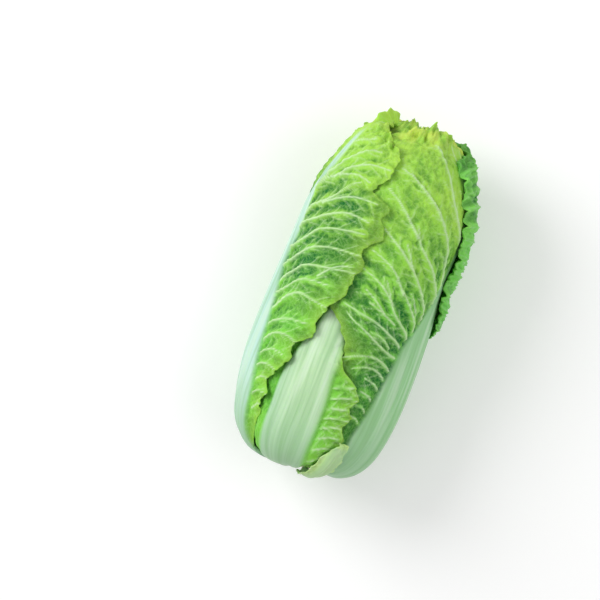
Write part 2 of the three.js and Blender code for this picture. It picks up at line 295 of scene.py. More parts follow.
@dataclass(frozen=True)
class LeafPlan:
    """The form of one leaf.

    Args:
        name: the solid that it stands in for.
        slot: its material slot.
        reach: how far up the outline its tip is.
        rib: the midrib's half-width, its depth, and how early it narrows.
        relief: how far its side ribs stand out.
        ruffle: how far its margins wave out: left, right, tip.
        waves: how many such waves it has.
        phase: where the waves start.
        left: left margin, as (place along the axis, angle in degrees) pairs.
        mid: midrib, likewise.
        right: right margin, likewise.
        grid: cells across and along.
        bridge: how far it bridges hollows, in cells of the lattice.
        veins: the main side veins that are given, or none to have them grown.
        frill: depth of the fine frill of each margin: left, right, tip.
        seed: picks its small irregularities.
        taper: the midrib's half-width from stem to tip, as shares of its broadest.
        crowd: how much its rows of cells crowd towards the stem, 1 for not at all.
        tone: how light its blade is along the axis, partly its own colour, partly painted light and
        shade, as (place along the axis, share) pairs.
        frilled_from: between which shares of its length the fine frill of its sides begins.
        base_bulge: how far its base swells out next to the stem.
        glow: how much lighter its blade is beside the midrib, partly paler colour, partly painted light.
        soft: over how many mm the midrib's colour fades into the blade's.
        gilded: how yellow the curls at its tip are.
    """

    name: str
    slot: str
    reach: float
    rib: tuple[float, float, float]
    relief: float
    ruffle: tuple[float, float, float]
    waves: float
    phase: float
    left: Pairs
    mid: Pairs
    right: Pairs
    grid: tuple[int, int] = (70, 130)
    bridge: int = 12
    veins: tuple[Vein, ...] = ()
    frill: tuple[float, float, float] = (0.3, 0.3, 0.8)
    seed: int = 1
    taper: tuple[float, ...] = BROAD_TO_FINE
    crowd: float = 1.0
    tone: Pairs = ((0, 0.5), (150, 0.5), (300, 0.7))
    frilled_from: tuple[float, float] = (0.08, 0.3)
    base_bulge: float = 0.0
    glow: float = 0.0
    soft: float = 3.0
    gilded: float = 0.5


def inner_leaf(i: int, angle: float) -> LeafPlan:
    """One of the four leaves round the heart.

    Args:
        i: its place in the order, from 0.
        angle: of its midrib, in degrees.

    Returns:
        Its form.
    """
    return LeafPlan(
        f"inner_leaf_{i + 1}", "inner_leaf", 0.93 + 0.012 * i, (17, 3.6, 1), 0, (1, 1, 9), 5, 0.31 * i,
        ((0, angle - 34), (60, angle - 52), (250, angle - 55), (300, angle - 70)),
        ((0, angle), (300, angle + 12)),
        ((0, angle + 34), (60, angle + 52), (250, angle + 60), (300, angle + 90)),
        grid=(60, 100), frill=(0.5, 0.5, 4.0), seed=20 + i,
    )


TOP_VEINS = tuple(
    Vein(((y, 3), (y + 5, 12), (y + 8, 20), (y + 8, 29)), 1.9) for y in (12, 20, 28, 36, 44, 52, 61, 70)
)
RIGHT_VEINS = (
    Vein(((99, 48), (105, 36), (107, 26), (101, 13), (96, 3)), 2.2),
    Vein(((111, 50), (111, 43), (115, 31), (120, 20), (124, 13), (127, 2), (132, -5)), 2.2),
    Vein(((119, 51), (124, 40), (128, 30), (133, 19), (134, 6), (138, -9)), 2.4),
    Vein(((126, 52), (135, 42), (140, 34), (144, 28), (151, 24), (159, 19), (166, 15)), 2.4),
    Vein(((134, 53), (144, 47), (150, 42), (158, 35), (164, 27), (169, 22)), 2.2),
    Vein(((144, 56), (155, 52), (163, 46), (173, 38), (182, 29), (198, 19)), 2.8),
    Vein(((154, 61), (169, 55), (183, 47), (192, 40), (196, 34), (205, 25), (214, 22)), 3.0),
    Vein(((171, 60), (194, 55), (209, 50), (219, 42), (228, 33), (235, 24), (244, 9), (249, -5)), 3.2),
    Vein(((189, 65), (216, 58), (229, 49), (235, 44), (244, 37), (260, 27), (274, 10)), 3.2),
    Vein(((91, 47), (97, 38), (98, 28), (92, 17)), 2.0),
    Vein(((82, 46), (88, 38), (88, 30)), 1.8),
    Vein(((72, 45), (77, 38), (77, 31)), 1.8),
    Vein(((232, 57), (246, 47), (262, 36), (280, 20)), 2.4),
    Vein(((250, 50), (264, 38), (278, 28), (292, 14)), 2.0),
    Vein(((160, 30), (172, 22), (180, 10), (184, -4)), 1.8),
    Vein(((182, 29), (192, 17), (200, 4), (206, -8)), 2.0),
    Vein(((205, 25), (216, 14), (226, 2), (232, -10)), 2.0),
    Vein(((62, 43), (67, 38), (66, 32)), 1.6),
    Vein(((52, 41), (57, 36), (56, 31)), 1.5),
    Vein(((117, 37), (124, 27), (124, 18)), 1.5),
    Vein(((136, 33), (141, 21), (145, 9)), 1.5),
    Vein(((151, 45), (158, 42), (163, 36)), 1.5),
    Vein(((150, 26), (158, 17), (165, 6), (168, -6)), 1.8),
    Vein(((141, 22), (149, 12), (154, 2)), 1.5),
)
LEFT_VEINS = (
    Vein(((227, -56), (251, -50), (257, -38), (261, -27)), 2.6),
    Vein(((240, -50), (262, -44), (272, -33), (279, -26)), 2.2),
    Vein(((205, -63), (225, -53), (241, -43), (250, -33), (253, -22)), 2.8),
    Vein(((196, -67), (221, -56), (228, -47), (232, -38), (232, -29), (230, -23)), 2.6),
    Vein(((185, -71), (200, -57), (213, -42), (223, -36), (228, -29)), 2.6),
    Vein(((174, -68), (185, -60), (197, -44), (204, -32), (204, -22), (202, -13)), 2.8),
    Vein(((160, -65), (173, -55), (186, -45), (190, -33), (193, -13)), 2.6),
    Vein(((147, -64), (160, -56), (171, -44), (175, -30), (176, -10)), 2.4),
    Vein(((135, -63), (147, -56), (156, -43), (158, -31), (162, -10)), 2.6),
    Vein(((123, -64), (128, -59), (140, -50), (145, -40), (146, -22)), 2.2),
    Vein(((110, -62), (119, -58), (129, -50), (134, -43), (130, -28), (129, -16)), 2.6),
    Vein(((98, -61), (104, -57), (110, -47), (111, -36), (112, -27)), 2.2),
    Vein(((86, -59), (94, -54), (98, -46), (98, -36), (92, -29)), 2.0),
    Vein(((75, -58), (82, -53), (85, -46), (82, -38)), 1.9),
    Vein(((64, -57), (71, -52), (72, -46), (69, -40)), 1.8),
    Vein(((54, -55), (61, -51), (61, -46), (58, -42)), 1.7),
    Vein(((44, -52), (50, -49), (51, -45), (48, -41)), 1.6),
    Vein(((34, -49), (40, -46), (40, -42)), 1.5),
    Vein(((205, -50), (213, -40), (218, -28), (217, -12)), 1.9),
    Vein(((226, -48), (238, -36), (243, -24), (242, -12)), 1.9),
    Vein(((150, -33), (163, -24), (166, -12)), 1.5),
)

LEAVES: tuple[LeafPlan, ...] = (
    *(inner_leaf(i, angle) for i, angle in enumerate((20, 157.5, -65, 72.5))),
    LeafPlan(
        "tucked_leaf_right", "tucked_leaf", 0.93, (26, 5, 1), 0.1, (1.5, 1.5, 6), 6, 0.2,
        ((0, 62), (60, 42), (150, 32), (250, 30), (300, 22)), ((0, 100), (300, 92)),
        ((0, 138), (60, 160), (150, 168), (250, 166), (300, 160)),
        grid=(50, 100), frill=(0.3, 0.3, 3.0), seed=31,
    ),
    LeafPlan(
        "tucked_leaf_left", "tucked_leaf", 0.945, (26, 5, 1), 0.1, (1.5, 1.5, 8), 6, 0.6,
        ((0, -76), (60, -96), (150, -108), (250, -104), (300, -90)), ((0, -38), (300, -28)),
        ((0, 0), (60, 18), (150, 30), (250, 34), (300, 40)),
        grid=(90, 140), frill=(0.3, 0.3, 4.0), seed=32,
    ),
    LeafPlan(
        "outer_leaf_low_left", "outer_leaf", 0.93, (32, 6, 1), 0.4, (2, 2, 5), 6, 0.45,
        ((0, -178), (60, -196), (150, -208), (250, -200), (300, -180)), ((0, -140), (300, -128)),
        ((0, -102), (60, -82), (150, -66), (250, -60), (300, -70)),
        grid=(80, 150), frill=(0.3, 0.3, 2.0), seed=33,
    ),
    LeafPlan(
        "outer_leaf_top", "outer_leaf", 0.91, (21, 6.5, 1), 1, (0.5, 3.5, 2), 9, 0.15,
        ((0, -60), (30, -66), (100, -78), (250, -72), (300, -40)),
        ((0, -15), (40, -14.5), (76, -15), (94, -13), (113, -11), (125, -10), (200, -2), (300, 8)),
        ((0, 22), (10, 27), (20, 31), (33, 34), (43, 26), (53, 29), (62, 22), (70, 27), (79, 22), (88, 6),
         (96, 5), (104, 5), (114, 9), (135, 24), (170, 46), (250, 60), (300, 44)),
        grid=(120, 200), veins=TOP_VEINS, frill=(0.2, 1.0, 0.4), seed=34,
        taper=(0.8, 0.96, 0.98, 0.8, 0.55, 0.22, 0.1, 0.08, 0.06, 0.05, 0.04), crowd=1.5,
        tone=((0, 0.55), (30, 0.5), (90, 0.6), (300, 0.6)), base_bulge=6.0, glow=0.6, soft=5.0,
    ),
    LeafPlan(
        "outer_leaf_right", "outer_leaf", 0.935, (33, 8, 1), 1.1, (1.2, 0.5, 7), 8, 0.7,
        ((0, 24), (12, 22), (30, 18), (60, 13), (84, 8), (90, 4.5), (104, 4), (112, 1), (123, -7),
         (140, -26), (200, -48), (260, -48), (300, -26)),
        ((0, 72), (60, 75), (123, 73), (154, 72), (193, 70), (221, 64), (246, 57), (268, 48), (300, 30)),
        ((0, 106), (60, 122), (150, 132), (250, 130), (300, 100)),
        grid=(170, 260), gilded=0.9, veins=RIGHT_VEINS, frill=(0.5, 0.2, 3.2), seed=35,
        taper=(0.6, 1.0, 0.94, 0.85, 0.73, 0.47, 0.26, 0.17, 0.11, 0.07, 0.04),
        # Darker near the stem: painted shade of the head's lower part on the right.
        tone=((0, 0.05), (100, 0.08), (140, 0.18), (185, 0.62), (240, 0.85), (300, 0.8)),
    ),
    LeafPlan(
        "outer_leaf_low_right", "dark_leaf", 0.93, (32, 6.5, 1), 1, (0.8, 1, 2), 9, 0.05,
        ((0, 124), (60, 128), (122, 118), (136, 100), (148, 79), (165, 70), (188, 64.5), (205, 61),
         (222, 57), (247, 48), (262, 42), (275, 32), (290, 16), (300, 8)),
        ((0, 134), (100, 136), (200, 132), (300, 112)),
        ((0, 160), (60, 184), (150, 196), (250, 190), (300, 160)),
        grid=(140, 260), frill=(4.0, 0.3, 2.6), seed=36, frilled_from=(0.36, 0.5),
        tone=((0, 0.4), (150, 0.4), (168, 0.7), (212, 0.75), (236, 0.4), (300, 0.2)),
    ),
    LeafPlan(
        "outer_leaf_left", "outer_leaf", 0.925, (29, 8, 1), 1.2, (1.5, 1.5, 6), 10, 0.35,
        ((0, -114), (60, -120), (150, -124), (250, -116), (300, -90)),
        ((0, -86), (150, -87), (180, -80), (211, -71), (235, -60), (264, -56), (300, -50)),
        ((0, -52), (10, -50), (20, -45), (44, -43), (50, -36), (57, -45), (66, -38), (81, -28), (92, -30),
         (104, -20), (124, -18), (144, -8), (160, -9), (170, -3), (181, -9), (196, 2), (208, -7), (216, 0),
         (225, -17), (240, -10), (253, -8), (264, -20), (282, -28), (300, -30)),
        grid=(160, 270), veins=LEFT_VEINS, frill=(0.3, 0.9, 3.8), seed=37,
        taper=(0.8, 1.0, 0.9, 0.78, 0.65, 0.52, 0.43, 0.28, 0.19, 0.1, 0.05),
        tone=((0, 0.6), (100, 0.6), (150, 0.06), (215, 0.1), (250, 0.82), (300, 0.85)), glow=0.25,
        gilded=0.25,
    ),
    LeafPlan(
        "outer_leaf_under", "outer_leaf", 0.87, (31, 7.5, 1), 1, (1, 1, 1), 6, 0.8,
        ((0, 150), (60, 147), (150, 142), (250, 144), (300, 160)), ((0, 184), (300, 184)),
        ((0, 218), (60, 222), (150, 228), (250, 224), (300, 206)), grid=(90, 150), seed=38,
    ),
    LeafPlan(
        "broken_leaf_base", "pale_leaf", 0.1, (6, 2.2, 0.2), 0, (0.3, 0.3, 0.5), 3, 0.5,
        ((0, 15), (14, 17), (24, 20), (30, 24)), ((0, 27), (30, 28)),
        ((0, 39), (14, 40), (24, 37), (30, 32)), grid=(40, 40), bridge=6, seed=39,
    ),
)


@dataclass
class Lattice:
    """Heights over the heart, in cells along s and round the axis.

    Args:
        rows: cells along s.
        turns: cells round the axis.
    """

    rows: int = 240
    turns: int = 360

    def empty(self, value: float = 0.0) -> np.ndarray:
        """An even lattice."""
        return np.full((self.rows + 1, self.turns), value)

    def shifted(self, v: np.ndarray, k: int, axis: int) -> np.ndarray:
        """The lattice moved by some cells, round the axis or along s, where it stops at the ends.

        Args:
            v: the heights.
            k: cells to move by.
            axis: 0 along s, 1 round the axis.

        Returns:
            The moved heights.
        """
        if axis == 1:
            return np.roll(v, k, axis=1)
        return v[np.clip(np.arange(len(v)) - k, 0, len(v) - 1)]

    def gathered(self, v: np.ndarray, reach: int, how: Callable) -> np.ndarray:
        """Each cell's highest or lowest neighbour within a reach.

        Args:
            v: the heights.
            reach: in cells.
            how: np.maximum or np.minimum.

        Returns:
            The new heights.
        """
        for axis in (0, 1):
            made = v
            for k in range(1, reach + 1):
                made = how(made, how(self.shifted(v, k, axis), self.shifted(v, -k, axis)))
            v = made
        return v

    def averaged(self, v: np.ndarray, reach: int) -> np.ndarray:
        """Each cell's average over its neighbours within a reach.

        Args:
            v: the heights.
            reach: in cells.

        Returns:
            The new heights.
        """
        for axis in (0, 1):
            v = sum(self.shifted(v, k, axis) for k in range(-reach, reach + 1)) / (2 * reach + 1)
        return v

    def at(self, v: np.ndarray, s: np.ndarray, angle: np.ndarray) -> np.ndarray:
        """The heights at any places.

        Args:
            v: the heights.
            s: share of the way along the outline.
            angle: round the axis, in radians.

        Returns:
            The heights there.
        """
        x = np.clip(s, 0, 1) * self.rows
        z = angle / (2 * np.pi) * self.turns
        i = np.minimum(np.floor(x).astype(int), self.rows - 1)
        j = np.floor(z).astype(int)
        f, g = x - i, z - j
        j0, j1 = j % self.turns, (j + 1) % self.turns
        low = v[i, j0] * (1 - g) + v[i, j1] * g
        high = v[i + 1, j0] * (1 - g) + v[i + 1, j1] * g
        return low * (1 - f) + high * f


@dataclass
class Leaf:
    """A leaf's own coordinates and sizes.

    Its coordinates are a, from -1 at the left margin over 0 at the midrib to 1 at the right margin, and b,
    from 0 at the stem to 1 at the tip.

    Args:
        plan: its form.
        head: the head's space.
        blade: thickness of its blade.
    """

    plan: LeafPlan
    head: Head
    blade: float = 1.1

    def wave(self, b: np.ndarray, turns: float, shift: float) -> np.ndarray:
        """An uneven wave along the leaf."""
        t = 2 * np.pi * (turns * b + self.plan.phase + shift)
        return 0.65 * np.sin(t) + 0.35 * np.sin(1.9 * t + 1.3)

    def spot(self, a: np.ndarray, b: np.ndarray) -> tuple[np.ndarray, np.ndarray, np.ndarray]:
        """Where a point of the leaf lies.

        Args:
            a: across it.
            b: along it.

        Returns:
            s, angle, and the width of the half of the leaf that the point is in.
        """
        p, o = self.plan, self.head.outline
        side = np.abs(a)
        sweep = 0.07 * side**1.4 * np.sin(np.pi * b) ** 1.5
        tip = 0.1 * a * a * step(0.55, 1, b)
        s = p.reach * (b + sweep - tip * step(0.3, 0.9, np.array(p.reach)))
        lobes = 2.6 * noise(5 * a + 9, 0 * a, p.seed) + 1.5 * noise(15 * a + 40, 0 * a, p.seed)
        s = s + lobes / o.length * step(0.8, 1, b) * step(0.2, 0.6, np.array(p.reach))
        y = o.read(s, o.y) + o.cover * o.read(s, o.out_y)
        mid = np.radians(between(p.mid, y))
        girth = np.maximum(14, o.read(s, o.r) + o.cover * o.read(s, o.out_r))
        broad_teeth = 1.5 * noise(y / 5.5, np.sign(a) * 3 + 9, p.seed)
        fine_teeth = 0.9 * noise(y / 2.4, np.sign(a) * 5 + 9, p.seed)
        teeth = (broad_teeth + fine_teeth) / girth
        margin = np.where(a < 0, self.margin(p.left, y) - teeth, self.margin(p.right, y) + teeth)
        return s, mid + (margin - mid) * side, np.abs(margin - mid) * girth

    def margin(self, pairs: Pairs, y: np.ndarray) -> np.ndarray:
        """A margin with its corners rounded."""
        return np.radians((between(pairs, y - 2.2) + 2 * between(pairs, y) + between(pairs, y + 2.2)) / 4)

    def midrib(self, b: np.ndarray) -> tuple[np.ndarray, np.ndarray]:
        """Half-width and depth of the midrib.

        Args:
            b: places along it.

        Returns:
            Both, in mm.
        """
        half_width, depth, early = self.plan.rib
        t = np.minimum(1, b * early)
        return half_width * along(self.plan.taper, t), depth * along(RIB_DEPTHS, t)

    def depth(self, a: np.ndarray, b: np.ndarray) -> np.ndarray:
        """The leaf's thickness.

        Args:
            a: across it.
            b: along it.

        Returns:
            The thickness in mm.
        """
        half_width, depth = self.midrib(b)
        across = np.abs(a) * self.spot(a, b)[2] / np.maximum(2.5, half_width)
        round_rib = np.sqrt(np.maximum(0, 1 - np.minimum(across, 1) ** 2.6))
        return self.blade + np.maximum(0, depth - self.blade) * round_rib

    def ruffle(self, a: np.ndarray, b: np.ndarray) -> np.ndarray:
        """How far the waved margins stand out from the head where nothing lies on them.

        Args:
            a: across it.
            b: along it.

        Returns:
            The lift in mm.
        """
        left, right, tip = self.plan.ruffle
        left_wave = 0.55 + 0.45 * self.wave(b, self.plan.waves, 0.1)
        right_wave = 0.55 + 0.45 * self.wave(b, self.plan.waves, 0.6)
        amount = np.where(a < 0, left * left_wave, right * right_wave)
        side = step(0.55, 1, np.abs(a)) * amount * step(0.08, 0.3, b)
        crown = 0.6 + 0.4 * np.sin(2 * np.pi * (1.6 * a + self.plan.phase))
        lift = np.maximum(side, step(0.8, 1, b) * tip * 0.8)
        return lift * (1 + (crown - 1) * step(0.85, 1, b))


@dataclass
class Layers:
    """The order in which leaves lie, and the room that each has.

    The top leaf's right half lies over the right leaf near the stem, and dips under it further up.

    Args:
        leaves: from the innermost to the outermost.
        gap: clear space between a leaf and what it lies on.
        swap: the two leaves that change places, and between which parts of s.
        lattice: the cells in which heights are kept.
    """

    leaves: Sequence[Leaf]
    gap: float = 1.65
    swap: tuple[str, str, float, float] = ("outer_leaf_top", "outer_leaf_right", 0.28, 0.325)
    lattice: Lattice = field(default_factory=Lattice)

    def __post_init__(self) -> None:
        """Lays the leaves in both orders."""
        names = [leaf.plan.name for leaf in self.leaves]
        i, j = names.index(self.swap[0]), names.index(self.swap[1])
        swapped = list(self.leaves)
        swapped[i], swapped[j] = swapped[j], swapped[i]
        self.near_stem = self.lay(swapped)
        self.past_swap = self.lay(list(self.leaves))

    def lay(self, order: Sequence[Leaf]) -> dict[str, tuple[np.ndarray, ...]]:
        """Lays the leaves on the heart in an order.

        Args:
            order: from the innermost to the outermost.

        Returns:
            For each leaf its floor, its ceiling, which is the height of the first thing over it, and its
            bed, which is what lies right under it.
        """
        grid = self.lattice
        a, b = np.meshgrid(np.linspace(-1, 1, 260), np.linspace(0, 1, 520))
        top = grid.empty()
        floors, covers, ceilings, beds = {}, {}, {}, {}
        for leaf in order:
            cells_wide = leaf.plan.bridge
            floor = grid.gathered(top, cells_wide, np.maximum)
            floor = grid.averaged(grid.averaged(floor, cells_wide - 3), 3)
            name = leaf.plan.name
            beds[name] = grid.averaged(grid.gathered(top, 3, np.maximum), 3)
            s, angle, _ = leaf.spot(a, b)
            i = np.clip(np.round(s * grid.rows).astype(int), 0, grid.rows)
            j = np.round(angle / (2 * np.pi) * grid.turns).astype(int) % grid.turns
            top = top.copy()
            np.maximum.at(top, (i, j), floor[i, j] + self.gap + leaf.depth(a, b) + leaf.plan.relief)
            cover = grid.empty()
            cover[i, j] = 1
            floors[name], covers[name] = floor, grid.gathered(cover, 5, np.maximum)
        for n, leaf in enumerate(order):
            ceiling = grid.empty(OPEN)
            for above in order[n + 1 :]:
                name = above.plan.name
                over = np.where(covers[name] > 0, floors[name] + self.gap, OPEN)
                ceiling = np.minimum(ceiling, over)
            ceilings[leaf.plan.name] = grid.gathered(ceiling, 5, np.minimum)
        return {name: (floors[name], ceilings[name], beds[name]) for name in floors}

    def room(
        self, leaf: Leaf, s: np.ndarray, angle: np.ndarray, down: np.ndarray
    ) -> tuple[np.ndarray, np.ndarray]:
        """The space that a leaf can take up.

        Args:
            leaf: the leaf.
            s: share of the way along the outline.
            angle: round the axis, in radians.
            down: how much the leaf lies down on what is right under it, from 0 to 1.

        Returns:
            The height of its inner face, and the height of the first thing over it.
        """
        t = step(self.swap[2], self.swap[3], s)
        near, past = self.near_stem[leaf.plan.name], self.past_swap[leaf.plan.name]
        read = self.lattice.at
        floor = read(near[0], s, angle) * (1 - t) + read(past[0], s, angle) * t + self.gap
        bed = read(near[2], s, angle) * (1 - t) + read(past[2], s, angle) * t + self.gap * 0.6
        floor = floor + (np.minimum(bed, floor) - floor) * down
        low = np.where(t < 1, read(near[1], s, angle), OPEN)
        high = np.where(t > 0, read(past[1], s, angle), OPEN)
        return floor, np.minimum(low, high)


@dataclass
class VeinNet:
    """The veins of one leaf, as points with a width.

    Args:
        leaf: the leaf.
        height: over the heart, at which distances are measured.
    """

    leaf: Leaf
    height: float = 14.0

    def __post_init__(self) -> None:
        """Draws the main veins and their branches."""
        self.rng = np.random.default_rng(self.leaf.plan.seed)
        self.length = self.leaf.head.outline.length
        main = self.given() or self.grown()
        self.main: list[np.ndarray] = main
        self.side: list[np.ndarray] = [b for line in main for b in self.branches(line)]

    def flat(self, s: np.ndarray, angle: np.ndarray) -> np.ndarray:
        """Places on the head laid out flat, in mm."""
        return np.stack([angle * FLAT_RADIUS, s * self.length], axis=-1)

    def raised(self, flat: np.ndarray) -> np.ndarray:
        """Flat places put back on the head."""
        height = np.full(len(flat), self.height)
        return self.leaf.head.place(flat[:, 1] / self.length, flat[:, 0] / FLAT_RADIUS, height)

    def smoothed(self, points: np.ndarray, width: float) -> np.ndarray:
        """A smooth line through points, with a point at every step and its width.

        Args:
            points: flat points.
            width: where the line starts.

        Returns:
            Rows of two coordinates and a width.
        """
        gaps = np.hypot(*np.diff(points, axis=0).T)
        t = np.concatenate([[0], np.cumsum(gaps)])
        fine = np.linspace(0, t[-1], max(3, int(t[-1] / VEIN_STEP)))
        line = np.stack([np.interp(fine, t, points[:, k]) for k in (0, 1)], axis=-1)
        reach = min(9, len(line) // 3)
        for _ in range(2):
            if reach > 0:
                kernel = np.ones(2 * reach + 1) / (2 * reach + 1)
                padded = np.pad(line, ((reach, reach), (0, 0)), mode="reflect", reflect_type="odd")
                line = np.stack([np.convolve(padded[:, k], kernel, "valid") for k in (0, 1)], axis=-1)
        share = np.linspace(0, 1, len(line))
        return np.column_stack([line, width * (1 - 0.72 * share)])

    def given(self) -> list[np.ndarray]:
        """The main veins that the leaf's form gives.

        Returns:
            Their lines.
        """
        lines = []
        for vein in self.leaf.plan.veins:
            s, angle = self.leaf.head.seen(vein.points)
            lines.append(self.smoothed(self.flat(s, angle), vein.width))
        return lines

    def grown(self) -> list[np.ndarray]:
        """Main veins that sweep from the midrib to both margins.

        Returns:
            Their lines.
        """
        lines = []
        for side in (-1, 1):
            b = 0.1 + 0.012 * side
            while b < 0.97:
                a = np.linspace(0.02, 0.97, 12)
                rise = 0.05 * a**1.5 * self.rng.uniform(-0.3, 1.0)
                wobble = 0.006 * np.cumsum(self.rng.normal(0, 0.5, 12))
                s, angle, _ = self.leaf.spot(side * a, np.clip(b + rise + wobble, 0, 1))
                lines.append(self.smoothed(self.flat(s, angle), 2.6 - 1.2 * b))
                b += self.rng.uniform(0.03, 0.052)
        return lines

    def branches(self, line: np.ndarray) -> list[np.ndarray]:
        """Side veins of a main vein, on both of its sides in turn.

        Args:
            line: the main vein.

        Returns:
            Their lines.
        """
        made = []
        at, side = self.rng.uniform(6, 12), 1.0
        while at < len(line) * VEIN_STEP - 3:
            k = int(at / VEIN_STEP)
            if k + 1 >= len(line):
                break
            way = line[k + 1, :2] - line[k, :2]
            turn = math.atan2(way[1], way[0]) + side * math.radians(self.rng.uniform(38, 62))
            reach = self.rng.uniform(6, 13)
            t = np.linspace(0, 1, 6)[:, None]
            bend = turn - side * math.radians(self.rng.uniform(5, 35)) * t[:, 0]
            steps = np.stack([np.cos(bend), np.sin(bend)], axis=-1) * reach / 5
            points = line[k, :2] + np.vstack([[0, 0], np.cumsum(steps[1:], axis=0)])
            made.append(self.smoothed(points, 0.55 * line[k, 2]))
            at += self.rng.uniform(3.5, 7)
            side = -side
        return made

    def nearness(
        self, s: np.ndarray, angle: np.ndarray, lines: list[np.ndarray]
    ) -> tuple[np.ndarray, ...]:
        """Distance from places to the nearest of some lines.

        Args:
            s: share of the way along the outline.
            angle: round the axis, in radians.
            lines: the lines.

        Returns:
            The distances, the width of the line there, and how far along it that is.
        """
        points = np.vstack(lines)
        lengths = [np.arange(len(line)) * VEIN_STEP + VEIN_SHIFT * k for k, line in enumerate(lines)]
        lengths = np.concatenate(lengths)
        tree = KDTree(len(points))
        for k, p in enumerate(self.raised(points)):
            tree.insert(p, k)
        tree.balance()
        found = [tree.find(p) for p in self.raised(self.flat(s, angle))]
        nearest = [f[1] for f in found]
        return np.array([f[2] for f in found]), points[nearest, 2], lengths[nearest]


class Tone(Enum):
    """Which way a leaf's colour leans."""

    GREEN = "green"
    # Darker: partly a deeper green, partly painted shade.
    DARK = "dark"
    PALE = "pale"
    YOUNG = "young"


@dataclass(frozen=True)
class LeafFinish:
    """Colours of a leaf, as linear light.

    Args:
        blade_shaded: of the blade's hollows, painted shade, and the dark end of its uneven tone.
        blade_lit: of the blade's crests, painted light, and the light end of its uneven tone.
        blade_tip: of the blade near its margin.
        vein: of the veins.
        rib: of the midrib on the head's left, with painted light.
        rib_top: of the midrib on the head's top, between painted light and shade.
        rib_shaded: of the midrib on the head's right, painted shade.
        rib_stem_shade: of the midrib near the stem, painted shade.
        rib_streak: of the green streaks along the midrib.
        rib_pale_streak_and_sheen: of the pale streaks along the midrib, partly its own striation, partly
            painted sheen.
        crown: of the curls at the tip.
    """

    blade_shaded: Colour
    blade_lit: Colour
    blade_tip: Colour
    vein: Colour
    rib: Colour
    rib_top: Colour = (0.54, 0.76, 0.47)
    rib_shaded: Colour = (0.31, 0.61, 0.29)
    rib_stem_shade: Colour = (0.33, 0.55, 0.33)
    rib_streak: Colour = (0.26, 0.50, 0.22)
    rib_pale_streak_and_sheen: Colour = (0.68, 0.84, 0.66)
    crown: Colour = (0.66, 0.82, 0.12)


FINISHES: dict[Tone, LeafFinish] = {
    Tone.GREEN: LeafFinish(
        (0.002, 0.16, 0.018), (0.17, 0.60, 0.05), (0.46, 0.76, 0.08), (0.60, 0.84, 0.46), (0.48, 0.72, 0.62),
    ),
    # Darker copy of the green finish for the right rim's leaf: its deeper green and painted shade.
    Tone.DARK: LeafFinish(
        (0.003, 0.12, 0.02), (0.12, 0.58, 0.07), (0.28, 0.72, 0.12), (0.34, 0.70, 0.26), (0.50, 0.74, 0.60),
        crown=(0.16, 0.56, 0.09),
    ),
    Tone.PALE: LeafFinish(
        (0.28, 0.56, 0.18), (0.48, 0.74, 0.34), (0.52, 0.76, 0.24), (0.60, 0.80, 0.46), (0.46, 0.68, 0.40),
        rib_top=(0.46, 0.70, 0.36), rib_shaded=(0.42, 0.66, 0.32), rib_stem_shade=(0.46, 0.66, 0.34),
        rib_pale_streak_and_sheen=(0.58, 0.76, 0.48),
    ),
    Tone.YOUNG: LeafFinish(
        (0.14, 0.38, 0.04), (0.46, 0.68, 0.09), (0.72, 0.78, 0.10), (0.70, 0.80, 0.42), (0.76, 0.86, 0.60),
        rib_top=(0.70, 0.82, 0.50), rib_shaded=(0.60, 0.78, 0.42), rib_stem_shade=(0.60, 0.76, 0.45),
    ),
}

Number = Union["Shade", float]


class Shade:
    """A value in a shader, with Python's operators."""

    def __init__(self, graph: "Graph", socket: bpy.types.NodeSocket) -> None:
        """Wraps a socket."""
        self.graph, self.socket = graph, socket

    def math(self, operation: str, *others: Number, clamp: bool = False) -> "Shade":
        """A shader sum with this value as its first term."""
        terms = dict(enumerate((self, *others)))
        return self.graph.node("Math", terms, operation=operation, use_clamp=clamp)

    def __add__(self, other: Number) -> "Shade":
        """Adds."""
        return self.math("ADD", other)

    def __sub__(self, other: Number) -> "Shade":
        """Subtracts."""
        return self.math("SUBTRACT", other)

    def __rsub__(self, other: float) -> "Shade":
        """Subtracts this value from a number."""
        return self.math("MULTIPLY", -1.0).math("ADD", other)

    def __mul__(self, other: Number) -> "Shade":
        """Multiplies."""
        return self.math("MULTIPLY", other)

    def __truediv__(self, other: Number) -> "Shade":
        """Divides."""
        return self.math("DIVIDE", other)

    def __pow__(self, other: Number) -> "Shade":
        """Raises to a power."""
        return self.math("POWER", other)

    __radd__, __rmul__ = __add__, __mul__

    def held(self) -> "Shade":
        """This value kept from 0 to 1."""
        return self.math("ADD", 0.0, clamp=True)

    def ramp(self, low: float, high: float) -> "Shade":
        """A smooth step from 0 at low to 1 at high."""
        terms = {"Value": self, "From Min": low, "From Max": high}
        return self.graph.node("MapRange", terms, interpolation_type="SMOOTHSTEP")


